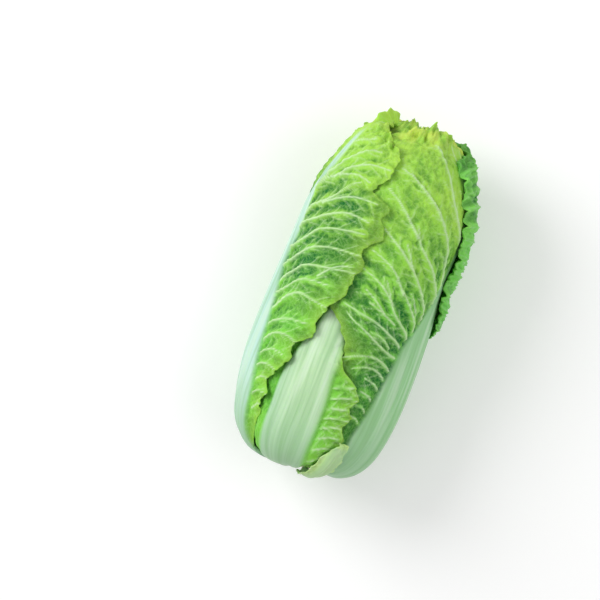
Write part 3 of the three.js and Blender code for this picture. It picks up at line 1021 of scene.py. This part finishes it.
class Graph:
    """A material's nodes."""

    def __init__(self, name: str) -> None:
        """Adds a material.

        Args:
            name: its name.
        """
        self.material = bpy.data.materials.new(name)
        self.material.use_nodes = True
        self.tree = self.material.node_tree
        self.shader = next(n for n in self.tree.nodes if n.type == "BSDF_PRINCIPLED")

    def node(
        self, kind: str, inputs: Optional[dict] = None, output: Union[int, str] = 0, **settings: object
    ) -> Shade:
        """Adds a node.

        Args:
            kind: its type's name, without ShaderNode.
            inputs: values, colours or shades by socket.
            output: the socket that is returned.
            settings: its properties.

        Returns:
            The chosen output.
        """
        made = self.tree.nodes.new("ShaderNode" + kind)
        for name, value in settings.items():
            setattr(made, name, value)
        for key, value in (inputs or {}).items():
            self.feed(made.inputs[key], value)
        return Shade(self, made.outputs[output])

    def dressed(self, inputs: dict) -> bpy.types.Material:
        """Feeds the material's own shader.

        Args:
            inputs: values, colours or shades by socket.

        Returns:
            The material.
        """
        for key, value in inputs.items():
            self.feed(self.shader.inputs[key], value)
        return self.material

    def feed(self, socket: bpy.types.NodeSocket, value: Union[Shade, float, Colour]) -> None:
        """Links a shade to a socket, or sets the socket.

        Args:
            socket: the input.
            value: what it gets.
        """
        if isinstance(value, Shade):
            self.tree.links.new(value.socket, socket)
        elif isinstance(value, tuple) and len(value) == 3 and socket.type == "RGBA":
            socket.default_value = (*value, 1.0)
        else:
            socket.default_value = value

    def mix(self, factor: Number, a: Union[Shade, Colour], b: Union[Shade, Colour]) -> Shade:
        """A blend of two colours."""
        return self.node("Mix", {0: factor, 6: a, 7: b}, output=2, data_type="RGBA")

    def attribute(self, name: str) -> Shade:
        """A value that the mesh carries."""
        return self.node("Attribute", output="Fac", attribute_name=name)

    def noise(self, place: Shade, scale: float, detail: float = 2.0) -> Shade:
        """Noise from 0 to 1."""
        return self.node("TexNoise", {"Vector": place, "Scale": scale, "Detail": detail}, output="Fac")

    def walls(self, place: Shade, scale: float) -> Shade:
        """Distance to the walls of irregular cells."""
        inputs = {"Vector": place, "Scale": scale}
        return self.node("TexVoronoi", inputs, output="Distance", feature="DISTANCE_TO_EDGE")


@dataclass
class Dresser:
    """Makes the materials.

    Args:
        made: the leaves' materials that there are already.
    """

    made: dict[Tone, bpy.types.Material] = field(default_factory=dict)

    def leaf(self, tone: Tone) -> bpy.types.Material:
        """A leaf's skin: a waxy midrib, and a blade with pale veins.

        Args:
            tone: which way its colour leans.

        Returns:
            The material.
        """
        if tone in self.made:
            return self.made[tone]
        g, f = Graph(f"leaf_{tone.value}"), FINISHES[tone]
        uv = g.node("UVMap", output="UV")
        place = g.node("TexCoord", output="Object")
        vein, rib, fold, young = (g.attribute(n) for n in ("vein", "rib", "fold", "young"))
        edge, base, sun, crown = (g.attribute(n) for n in ("edge", "base", "sun", "crown"))
        streaks = g.noise(g.node("Mapping", {"Vector": uv, "Scale": (46.0, 1.6, 1.0)}), 1.0, 3.0)
        bands = g.noise(g.node("Mapping", {"Vector": uv, "Scale": (15.0, 0.8, 1.0)}), 1.0, 2.0)
        patches = g.noise(place, 26.0, 2.0)
        specks = g.noise(place, 420.0, 3.0)
        lines = 1.0 - g.walls(uv, 60.0).ramp(0.02, 0.14)
        wander = g.node("TexNoise", {"Vector": uv, "Scale": 16.0, "Detail": 2.0}, output="Color")
        warped = {0: wander, 1: (0.09, 0.09, 0.0), 2: uv}
        warped = g.node("VectorMath", warped, output="Vector", operation="MULTIPLY_ADD")
        meshes = g.walls(warped, 24.0)
        netting = 1.0 - meshes.ramp(0.0, 0.09)
        # Painted light and shade: lighter on crests and cell walls, darker in hollows, plus uneven tone.
        light = (fold + (patches - 0.5) * 0.35 + (specks - 0.5) * 0.2 + meshes.ramp(0.3, 0.0) * 0.2).held()
        crest = g.mix((young * 0.72 + (patches - 0.5) * 0.5).held(), f.blade_lit, f.blade_tip)
        blade = g.mix(light, f.blade_shaded, crest)
        blade = g.mix((edge * 0.5 + (patches - 0.5) * 0.3).held(), blade, f.blade_tip)
        blade = g.mix(crown, blade, f.crown)
        blade = g.mix(lines * 0.06, blade, f.vein)
        blade = g.mix(netting * 0.1, blade, f.vein)
        blade = g.mix(vein, blade, f.vein)
        # Painted shade: the midrib is darker towards the stem.
        stem_shade_share = (base + (streaks - 0.5) * 0.5).held()
        # Painted light and shade: the midrib is lighter on the head's left and top, darker on its right.
        midrib = g.mix(sun.ramp(0.0, 0.6), f.rib_shaded, f.rib_top)
        midrib = g.mix(sun.ramp(0.65, 0.95), midrib, f.rib)
        midrib = g.mix((stem_shade_share * 0.8).held(), midrib, f.rib_stem_shade)
        striped = streaks.ramp(0.4, 0.7) * 0.3 + bands.ramp(0.48, 0.62) * 0.3
        midrib = g.mix(striped.held(), midrib, f.rib_streak)
        # Pale streaks along the midrib: partly its own striation, partly painted sheen.
        midrib = g.mix((bands.ramp(0.52, 0.38) * 0.4 * (1.0 - base)).held(), midrib, f.rib_pale_streak_and_sheen)
        colour = g.mix(rib, blade, midrib)
        roughness = 0.42 + patches * 0.12 - rib * 0.08
        bumps = (lines * 0.6 + specks * 0.5 + netting * 0.6) * (1.0 - rib) + streaks * rib * 0.5
        normal = g.node("Bump", {"Height": bumps, "Distance": 0.0004, "Strength": 0.5}, output="Normal")
        self.made[tone] = g.dressed({
            "Base Color": colour, "Roughness": roughness, "Normal": normal, "Subsurface Weight": 0.12,
            "Subsurface Radius": (0.6, 1.0, 0.3), "Subsurface Scale": 0.003, "Specular IOR Level": 0.14,
        })
        return self.made[tone]

    def stem(self) -> bpy.types.Material:
        """The stem's cut face: pale, browned and ringed.

        Returns:
            The material.
        """
        g = Graph("cut_stem")
        place = g.node("TexCoord", output="Object")
        ring = g.attribute("ring")
        patches, specks = g.noise(place, 60.0, 4.0), g.noise(place, 500.0, 2.0)
        brown = (ring.ramp(0.55, 1.0) * 0.7 + (patches - 0.5) * 0.8).held()
        colour = g.mix(brown, (0.78, 0.76, 0.58), (0.42, 0.30, 0.14))
        colour = g.mix(specks * 0.3, colour, (0.86, 0.86, 0.72))
        cut = {"Height": specks + patches, "Distance": 0.0006, "Strength": 0.6}
        normal = g.node("Bump", cut, output="Normal")
        return g.dressed({"Base Color": colour, "Roughness": 0.55 + patches * 0.2, "Normal": normal})

    def plain(self, name: str, colour: Colour, roughness: float, glow: float) -> bpy.types.Material:
        """An even material.

        Args:
            name: its name.
            colour: as linear light.
            roughness: from 0 to 1.
            glow: how much light it gives off.

        Returns:
            The material.
        """
        return Graph(name).dressed({
            "Base Color": colour, "Roughness": roughness,
            "Emission Color": colour, "Emission Strength": glow,
        })


TONES: dict[str, Tone] = {
    "inner_leaf": Tone.YOUNG,
    "tucked_leaf": Tone.GREEN,
    "outer_leaf": Tone.GREEN,
    "dark_leaf": Tone.DARK,
    "pale_leaf": Tone.PALE,
}


def grid_piece(name: str, across: int, up: int) -> tuple[bpy.types.Object, np.ndarray, np.ndarray]:
    """Adds a grid whose points are still to be placed.

    Args:
        name: the piece's name.
        across: cells across.
        up: cells along.

    Returns:
        The object, and each point's place across and along, from 0 to 1.
    """
    bpy.ops.object.select_all(action="DESELECT")
    bpy.ops.mesh.primitive_grid_add(x_subdivisions=across, y_subdivisions=up, size=1.0)
    piece = bpy.context.active_object
    piece.name = name
    share = points_of(piece) + 0.5
    return piece, share[:, 0], share[:, 1]


def points_of(piece: bpy.types.Object) -> np.ndarray:
    """A piece's points.

    Args:
        piece: the piece.

    Returns:
        The points in m, one a row.
    """
    co = np.empty(len(piece.data.vertices) * 3)
    piece.data.vertices.foreach_get("co", co)
    return co.reshape(-1, 3)


def place_points(piece: bpy.types.Object, points: np.ndarray) -> None:
    """Moves a piece's points.

    Args:
        piece: the piece.
        points: in mm, one a row.
    """
    piece.data.vertices.foreach_set("co", (points * MM).ravel())
    piece.data.update()


def carry(piece: bpy.types.Object, name: str, values: np.ndarray) -> None:
    """Stores a value for each point of a piece.

    Args:
        piece: the piece.
        name: the attribute's name.
        values: one a point.
    """
    layer = piece.data.attributes.new(name, "FLOAT", "POINT")
    layer.data.foreach_set("value", np.ascontiguousarray(values, dtype=np.float32))


@dataclass(frozen=True)
class Fold:
    """A kind of fold of a blade.

    Args:
        height: how far it stands out, in mm.
        light: how much painted light it puts on the blade's colour.
    """

    height: float
    light: float = 0.0


FOLDS: dict[str, Fold] = {
    "crest": Fold(2.0, 2.0),  # the swelling along a main side vein
    "low_crest": Fold(0.8, 0.8),  # the swelling along its branches
    "puffs": Fold(0.8),  # the blade between the veins
    "wrinkles": Fold(0.45, 0.6),
    "broad": Fold(0.8, 0.45),  # broad swellings
    "pleats": Fold(1.5, 1.7),  # beside the main side veins
    "main": Fold(0.9),  # a main side vein itself
    "side": Fold(0.5),  # a branch itself
}


@dataclass
class Sheet:
    """A leaf's points before they get their height. Distances are in mm.

    Args:
        a: across the leaf.
        b: along it.
        y: place on the axis.
        s: share of the way along the outline.
        angle: round the axis, in radians.
        u: flat place round the head.
        v: flat place along it.
        from_margin: distance from the nearest side margin.
        from_tip: distance from the tip.
        beside_rib: distance from the midrib's side, less than 0 on the midrib.
        blade: 1 on the blade, 0 on the midrib.
        depth: the leaf's thickness.
    """

    a: np.ndarray
    b: np.ndarray
    y: np.ndarray
    s: np.ndarray
    angle: np.ndarray
    u: np.ndarray
    v: np.ndarray
    from_margin: np.ndarray
    from_tip: np.ndarray
    beside_rib: np.ndarray
    blade: np.ndarray
    depth: np.ndarray

    def from_edge(self) -> np.ndarray:
        """Distance from the nearest margin or the tip."""
        return np.minimum(self.from_margin, self.from_tip)


@dataclass
class LeafPiece:
    """Builds one leaf's mesh and dresses it.

    Args:
        leaf: its coordinates and sizes.
        layers: the room that it has.
        dresser: makes its material.
        middle: the sum of the folds' painted light at which its blade has its usual tone.
        contrast: between the painted shade of hollows and the painted light of crests.
        glow_reach: over how many mm the lighter band beside the midrib fades, partly painted light.
    """

    leaf: Leaf
    layers: Layers
    dresser: Dresser
    middle: float = 0.7
    contrast: float = 0.33
    glow_reach: float = 9.0

    def build(self) -> bpy.types.Object:
        """Makes the leaf.

        Returns:
            The piece.
        """
        plan = self.leaf.plan
        piece, f, b = grid_piece("look_" + plan.name, *plan.grid)
        sheet = self.spread(f, b**plan.crowd)
        folds = self.folds(sheet)
        place_points(piece, self.placed(sheet, folds))
        self.colour(piece, sheet, folds)
        self.finish(piece, sheet)
        return piece

    def spread(self, f: np.ndarray, b: np.ndarray) -> Sheet:
        """Spreads the leaf's grid between its margins.

        Args:
            f: each point's place across the grid, from 0 to 1.
            b: its place along the leaf.

        Returns:
            The points.
        """
        leaf, plan, outline = self.leaf, self.leaf.plan, self.leaf.head.outline
        y = outline.read(plan.reach * b, outline.outer_y)
        left, mid, right = (between(line, y) for line in (plan.left, plan.mid, plan.right))
        share = (mid - left) / (right - left)
        a = np.where(f > share, (f - share) / (1 - share), (f - share) / share)
        s, angle, half = leaf.spot(a, b)
        beside_rib = np.abs(a) * half - leaf.midrib(b)[0]
        return Sheet(
            a=a, b=b, y=y, s=s, angle=angle, u=angle * FLAT_RADIUS, v=s * outline.length,
            from_margin=(1 - np.abs(a)) * half, from_tip=(1 - b) * plan.reach * outline.length,
            beside_rib=beside_rib, blade=step(-1.0, 4.0, beside_rib), depth=leaf.depth(a, b),
        )

    def folds(self, sheet: Sheet) -> dict[str, np.ndarray]:
        """What stands out on the blade.

        Args:
            sheet: the leaf's points.

        Returns:
            The share of each kind of fold at each point.
        """
        seed, u, v = self.leaf.plan.seed, sheet.u, sheet.v
        veins = VeinNet(self.leaf)
        d_main, w_main, t_main = veins.nearness(sheet.s, sheet.angle, veins.main)
        d_side, w_side, _ = veins.nearness(sheet.s, sheet.angle, veins.side)
        crest = np.exp(-((d_main / 3.0) ** 1.3))
        pleats = noise(t_main / 11.0, d_main / 2.3, seed + 11)
        bent_u = u + 1.6 * noise(u / 6, v / 6, seed + 5)
        bent_v = v + 1.6 * noise(u / 6, v / 6, seed + 6)
        puffs = np.minimum(1, cells(bent_u / 6.0, bent_v / 7.0, seed) * 2.0)
        return {
            "crest": crest,
            "low_crest": np.exp(-((d_side / 2.0) ** 1.5)),
            "puffs": puffs * (1 - crest),
            "wrinkles": noise(u / 3.2, v / 3.2, seed + 1) + 0.6 * noise(u / 1.7, v / 1.7, seed + 2),
            "broad": noise(u / 12, v / 12, seed + 3),
            "pleats": pleats * np.exp(-((d_main / 7.5) ** 2)),
            "main": np.exp(-((d_main / (0.36 * w_main + 0.2)) ** 2)),
            "side": np.exp(-((d_side / (0.4 * w_side + 0.3)) ** 2)),
        }

    def placed(self, sheet: Sheet, folds: dict[str, np.ndarray]) -> np.ndarray:
        """Where the points of the leaf's outer face lie.

        Its folds are squeezed into the room under what lies over the leaf.

        Args:
            sheet: the leaf's points.
            folds: what stands out on its blade.

        Returns:
            Points in mm, one a row.
        """
        leaf, plan = self.leaf, self.leaf.plan
        down = np.exp(-((sheet.from_edge() / MARGIN) ** 2)) * step(-2.0, 2.0, sheet.beside_rib)
        down = np.maximum(down, 0.85 * np.exp(-((sheet.v / 13.0) ** 2)))
        floor, ceiling = self.layers.room(leaf, sheet.s, sheet.angle, down)
        room = np.maximum(0.0, ceiling - floor - sheet.depth - 0.5)
        folded = sum(FOLDS[kind].height * share for kind, share in folds.items())
        frilled = step(1, 4, np.array(max(plan.frill[:2]))) * np.exp(-((sheet.from_margin / MARGIN) ** 2))
        calm = 1 - 0.8 * frilled * step(*plan.frilled_from, sheet.b)
        lift = leaf.ruffle(sheet.a, sheet.b) + self.frill(sheet) + sheet.blade * folded * calm
        squeezed = room * (1 - np.exp(-np.maximum(lift, 0) / np.maximum(room, 1e-6)))
        lift = squeezed + np.minimum(lift, 0) * 0.5
        return leaf.head.place(sheet.s, sheet.angle, floor + sheet.depth + lift + self.waxy(sheet))

    def waxy(self, sheet: Sheet) -> np.ndarray:
        """Low ridges along the midrib, and the swelling of its base.

        Args:
            sheet: the leaf's points.

        Returns:
            The lift in mm.
        """
        plan, u, v = self.leaf.plan, sheet.u, sheet.v
        ridges = 0.3 * noise(u / 2.0, v / 70, plan.seed + 4) + 0.8 * noise(u / 5.5, v / 140, plan.seed + 12)
        ridges = ridges * (1 - sheet.blade) * step(0.02, 0.1, sheet.b)
        return ridges + plan.base_bulge * (1 - step(8, 45, v)) * step(0.9, 0.5, np.abs(sheet.a))

    def frill(self, sheet: Sheet) -> np.ndarray:
        """The fine frill of the margins.

        Args:
            sheet: the leaf's points.

        Returns:
            The lift in mm.
        """
        plan, u, v = self.leaf.plan, sheet.u, sheet.v
        left, right, tip = plan.frill
        curl = noise(v / 3.8, u / 4.4, plan.seed + 7) + 0.7 * noise(v / 2.1, u / 2.6, plan.seed + 8)
        side = np.where(sheet.a < 0, left, right) * curl * np.exp(-((sheet.from_margin / 11.0) ** 2))
        curl = noise(u / 5.0, v / 6, plan.seed + 9) + 0.7 * noise(u / 2.6, v / 3.2, plan.seed + 10)
        end = 1.6 * tip * curl * np.exp(-((sheet.from_tip / 14.0) ** 2))
        return side * step(*plan.frilled_from, sheet.b) + end

    def colour(self, piece: bpy.types.Object, sheet: Sheet, folds: dict[str, np.ndarray]) -> None:
        """Stores what the leaf's material reads.

        Args:
            piece: the sheet's object.
            sheet: the leaf's points.
            folds: what stands out on its blade.
        """
        plan = self.leaf.plan
        # Painted light and shade: the folds' crests lighten the colour and their hollows darken it.
        light = sum(FOLDS[kind].light * share for kind, share in folds.items()) - self.middle
        # Lighter beside the midrib: partly its paler colour there, partly painted light.
        beside = plan.glow * np.exp(-((np.maximum(sheet.beside_rib, 0) / self.glow_reach) ** 2))
        curls = noise(sheet.u / 7, sheet.v / 7, plan.seed + 13)
        tip = np.exp(-((sheet.from_tip / 16.0) ** 2))
        carried = {
            "vein": np.clip(sheet.blade * np.maximum(1.1 * folds["main"], 0.48 * folds["side"]), 0, 1),
            "rib": (1 - step(-plan.soft, 1.0, sheet.beside_rib)) * (1 - step(0.86, 0.94, sheet.b)),
            # Painted light and shade of the folds, with the leaf's tone and the lighter band by the midrib.
            "fold": np.clip(between(plan.tone, sheet.y) + self.contrast * light + beside, 0, 1),
            "young": step(0.3, 0.85, sheet.s),
            "crown": plan.gilded * tip * step(-0.5, 0.7, curls),
            "edge": np.exp(-sheet.from_edge() / MARGIN),
            # Nearness to the stem, for the midrib's painted shade and its fewer pale streaks there.
            "base": 1 - step(0.02, 0.22, sheet.s),
            # Which way round the head a point faces, for the midrib's painted light and shade.
            "sun": np.clip(0.5 - 0.5 * np.sin(sheet.angle), 0, 1),
        }
        for name, values in carried.items():
            carry(piece, name, values)

    def finish(self, piece: bpy.types.Object, sheet: Sheet) -> None:
        """Gives the sheet its thickness, its skin and its place among the bodies.

        Args:
            piece: the sheet's object.
            sheet: the leaf's points.
        """
        plan = self.leaf.plan
        mesh = piece.data
        corner = np.empty(len(mesh.loops), dtype=np.int32)
        mesh.loops.foreach_get("vertex_index", corner)
        uv = np.stack([sheet.u, sheet.v], axis=-1) / 100.0
        flat = np.ascontiguousarray(uv[corner].ravel(), dtype=np.float32)
        mesh.uv_layers.active.data.foreach_set("uv", flat)
        thickest = float(sheet.depth.max())
        group = piece.vertex_groups.new(name="depth")
        for k, value in enumerate(sheet.depth / thickest):
            group.add([k], float(value), "REPLACE")
        solid = piece.modifiers.new("thickness", "SOLIDIFY")
        solid.thickness = thickest * MM
        solid.offset = -1.0
        solid.vertex_group = "depth"
        bpy.ops.object.modifier_apply(modifier=solid.name)
        bpy.ops.object.shade_smooth()
        piece.data.materials.append(self.dresser.leaf(TONES[plan.slot]))
        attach(piece, "root")
        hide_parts(plan.name)


@dataclass
class Core:
    """The stem and the heart.

    Args:
        head: the head's space.
        dresser: makes the materials.
        stem_line: the stem's outline, as radius and place on the axis.
        socket_line: the heart's socket for it, from its tip to its mouth.
        stem_rings: rings of points along the stem's outline.
        heart_rings: rings of points along the heart's outer face.
    """

    head: Head
    dresser: Dresser
    stem_line: Pairs = (
        (0, 1.5), (16.5, 1.5), (18.4, 3), (19.2, 8), (19.2, 19.2), (17.4, 24), (14, 40), (9, 60), (3, 74),
        (0, 76),
    )
    socket_line: Pairs = ((0, 76.8), (3.8, 74.4), (9.9, 60), (14.9, 40), (18.3, 24.2), (19.9, 20.3))
    stem_rings: int = 70
    heart_rings: int = 110

    def turned(self, name: str, radius: np.ndarray, y: np.ndarray, shape: Shaping) -> bpy.types.Object:
        """A closed turned piece.

        Args:
            name: its name.
            radius: of each ring.
            y: place on the axis of each ring.
            shape: changes a point's radius and place, given its ring's share and its angle.

        Returns:
            The piece.
        """
        piece, f, b = grid_piece(name, 96, len(radius) - 1)
        angle = f * 2 * np.pi
        k = np.round(b * (len(radius) - 1)).astype(int)
        r, place = shape(radius[k], y[k], k, angle)
        points = np.stack([r * np.sin(angle), place, self.head.axis_height + r * np.cos(angle)], axis=-1)
        place_points(piece, points + self.head.shift)
        bpy.ops.object.mode_set(mode="EDIT")
        bpy.ops.mesh.select_all(action="SELECT")
        bpy.ops.mesh.remove_doubles(threshold=2e-6)
        bpy.ops.mesh.normals_make_consistent(inside=False)
        bpy.ops.object.mode_set(mode="OBJECT")
        bpy.ops.object.shade_smooth()
        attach(piece, "root")
        return piece

    def build_stem(self) -> bpy.types.Object:
        """Makes the stem.

        Returns:
            The piece.
        """
        t = np.linspace(0, len(self.stem_line) - 1, self.stem_rings)
        r, y = (np.interp(t, range(len(self.stem_line)), c) for c in zip(*self.stem_line))

        def rough(
            radius: np.ndarray, place: np.ndarray, k: np.ndarray, angle: np.ndarray
        ) -> tuple[np.ndarray, np.ndarray]:
            """Ridges of the cut face.

            Args:
                radius: of the points.
                place: along the axis.
                k: their rings; not used.
                angle: round the axis.

            Returns:
                The new radius and place.
            """
            face = (place < 2.0) * step(0, 6, radius)
            ridges = 0.35 * noise(angle * 3.1, radius / 4, 51) + 0.25 * noise(radius / 1.5, angle, 52)
            return radius, place + face * ridges

        piece = self.turned("look_stem", r, y, rough)
        co = points_of(piece) / MM - self.head.shift - np.array([0, 0, self.head.axis_height])
        broadest = max(r for r, _ in self.stem_line)
        carry(piece, "ring", np.clip(np.hypot(co[:, 0], co[:, 2]) / broadest, 0, 1))
        piece.data.materials.append(self.dresser.stem())
        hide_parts("stem")
        return piece

    def build_heart(self) -> bpy.types.Object:
        """Makes the heart.

        Returns:
            The piece.
        """
        o = self.head.outline
        s = np.linspace(0, 1, self.heart_rings)
        socket = np.array(self.socket_line, float)
        r = np.concatenate([socket[:, 0], o.read(s, o.r)])
        y = np.concatenate([socket[:, 1], o.read(s, o.y)])
        r[-1] = 0.0

        def folds(
            radius: np.ndarray, place: np.ndarray, k: np.ndarray, angle: np.ndarray
        ) -> tuple[np.ndarray, np.ndarray]:
            """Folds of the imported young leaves.

            Args:
                radius: of the points.
                place: along the axis.
                k: their rings.
                angle: round the axis.

            Returns:
                The new radius and place.
            """
            share = np.clip((k - len(socket)) / (self.heart_rings - 1), 0, 1)
            outside = (k > len(socket)) & (k < len(r) - 1)
            crown = step(0.72, 0.86, share) * (1 - step(0.97, 1.0, share))
            curl = angle * 2 + 9 * share + 0.8 * np.sin(angle + 2)
            petals = (curl / np.pi) % 1.0
            swirl = 0.5 + 0.5 * np.sin(3 * angle + 14 * share)
            dip = 1.2 * swirl + 0.4 * (1 + noise(angle * 5, share * 60, 53))
            dip = dip + crown * (5.0 * petals**2 + 1.2 * (1 + np.sin(11 * angle + 30 * share)))
            press = np.where(outside, self.head.pressed(share, angle), 1)
            dip = dip * outside
            return (radius - dip * o.read(share, o.out_r)) * press, place - dip * o.read(share, o.out_y)

        piece = self.turned("look_heart", r, y, folds)
        co = points_of(piece) / MM - self.head.shift
        # Lighter and darker at random round and along the heart.
        patchy_tone = noise(np.arctan2(co[:, 0], co[:, 2] - self.head.axis_height) * 6 + 20, co[:, 1] / 4, 54)
        carried = {
            "vein": 0.1, "rib": 0.0, "fold": np.clip(0.5 + 0.35 * patchy_tone, 0, 1), "edge": 0.3, "base": 0.5,
            "sun": 0.5, "young": 0.8, "crown": 0.0,
        }
        for name, value in carried.items():
            carry(piece, name, np.broadcast_to(value, patchy_tone.shape))
        piece.data.materials.append(self.dresser.leaf(Tone.YOUNG))
        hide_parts("heart")
        return piece


@dataclass(frozen=True)
class Lamp:
    """A soft round lamp that shines at the head.

    Args:
        name: its name.
        where: how far it is to the right and up in the picture, and over the floor, in m.
        size: its breadth in m.
        watts: its power.
    """

    name: str
    where: tuple[float, float, float]
    size: float
    watts: float


@dataclass
class Studio:
    """Floor, lights and camera.

    Args:
        dresser: makes the floor's material.
        view_width: width in m that the picture covers at the head.
        distance: of the camera from the head's middle, in m.
        sensor: width of the camera's sensor in mm.
        roll: by which the head leans to the right in the picture, in degrees.
        middle: the head's point in the middle of the picture, as (across, along) in mm.
        middle_height: height in m of the head's middle.
        floor_size: side of the floor in m.
        lamps: the lamps.
        daylight: strength of the white world.
    """

    dresser: Dresser
    view_width: float = 0.489
    distance: float = 1.6
    sensor: float = 36.0
    roll: float = 21.5
    middle: tuple[float, float] = (-42.4, 126.6)
    middle_height: float = 0.066
    floor_size: float = 6.0
    lamps: tuple[Lamp, ...] = (
        Lamp("key", (-0.9, 0.6, 0.95), 0.8, 11.0),
        Lamp("fill", (0.9, -0.2, 1.2), 1.2, 5.0),
    )
    daylight: float = 0.56

    def build(self, head: Head) -> None:
        """Sets them up.

        Args:
            head: the head's space.
        """
        bpy.ops.mesh.primitive_plane_add(size=self.floor_size, location=(0, 0, -0.0005))
        floor = bpy.context.active_object
        floor.name = "floor"
        pale = self.dresser.plain("pale_floor", colour=(0.95, 0.95, 0.95), roughness=0.9, glow=0.1)
        floor.data.materials.append(pale)
        turn = math.radians(self.roll)
        x, y = (self.middle[0] + head.shift[0]) * MM, (self.middle[1] + head.shift[1]) * MM
        data = bpy.data.cameras.new("camera")
        data.sensor_width = self.sensor
        data.lens = self.sensor * self.distance / self.view_width
        data.clip_end = 20.0
        camera = bpy.data.objects.new("camera", data)
        camera.location = (x, y, self.middle_height + self.distance)
        camera.rotation_euler = (0.0, 0.0, turn)
        bpy.context.scene.collection.objects.link(camera)
        bpy.context.scene.camera = camera
        right = Vector((math.cos(turn), math.sin(turn), 0))
        up = Vector((-math.sin(turn), math.cos(turn), 0))
        for lamp in self.lamps:
            across, upward, height = lamp.where
            self.light(lamp, across * right + upward * up + Vector((0, 0, height)))
        world = bpy.data.worlds.new("studio")
        world.use_nodes = True
        background = world.node_tree.nodes["Background"]
        background.inputs["Color"].default_value = (1.0, 1.0, 1.0, 1.0)
        background.inputs["Strength"].default_value = self.daylight
        bpy.context.scene.world = world
        bpy.context.scene.view_settings.view_transform = "Standard"

    def light(self, lamp: Lamp, place: Vector) -> None:
        """Sets up a lamp.

        Args:
            lamp: the lamp.
            place: where it is, in m.
        """
        data = bpy.data.lights.new(lamp.name, "AREA")
        data.shape = "DISK"
        data.size = lamp.size
        data.energy = lamp.watts
        made = bpy.data.objects.new(lamp.name, data)
        made.location = place
        made.rotation_euler = (Vector((0, 0, 0.05)) - place).to_track_quat("-Z", "Y").to_euler()
        bpy.context.scene.collection.objects.link(made)


def main() -> None:
    """Builds the head, the floor, the lights and the camera."""
    logging.basicConfig(level=logging.INFO, format="%(message)s")
    head, dresser = Head(), Dresser()
    layers = Layers([Leaf(plan, head) for plan in LEAVES])
    LOG.info("layers laid")
    core = Core(head, dresser)
    for piece in (core.build_stem(), core.build_heart()):
        LOG.info("%s: %d faces", piece.name, len(piece.data.polygons))
    for leaf in layers.leaves:
        piece = LeafPiece(leaf, layers, dresser).build()
        LOG.info("%s: %d faces", piece.name, len(piece.data.polygons))
    Studio(dresser).build(head)
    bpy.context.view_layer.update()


if __name__ == "__main__":
    main()
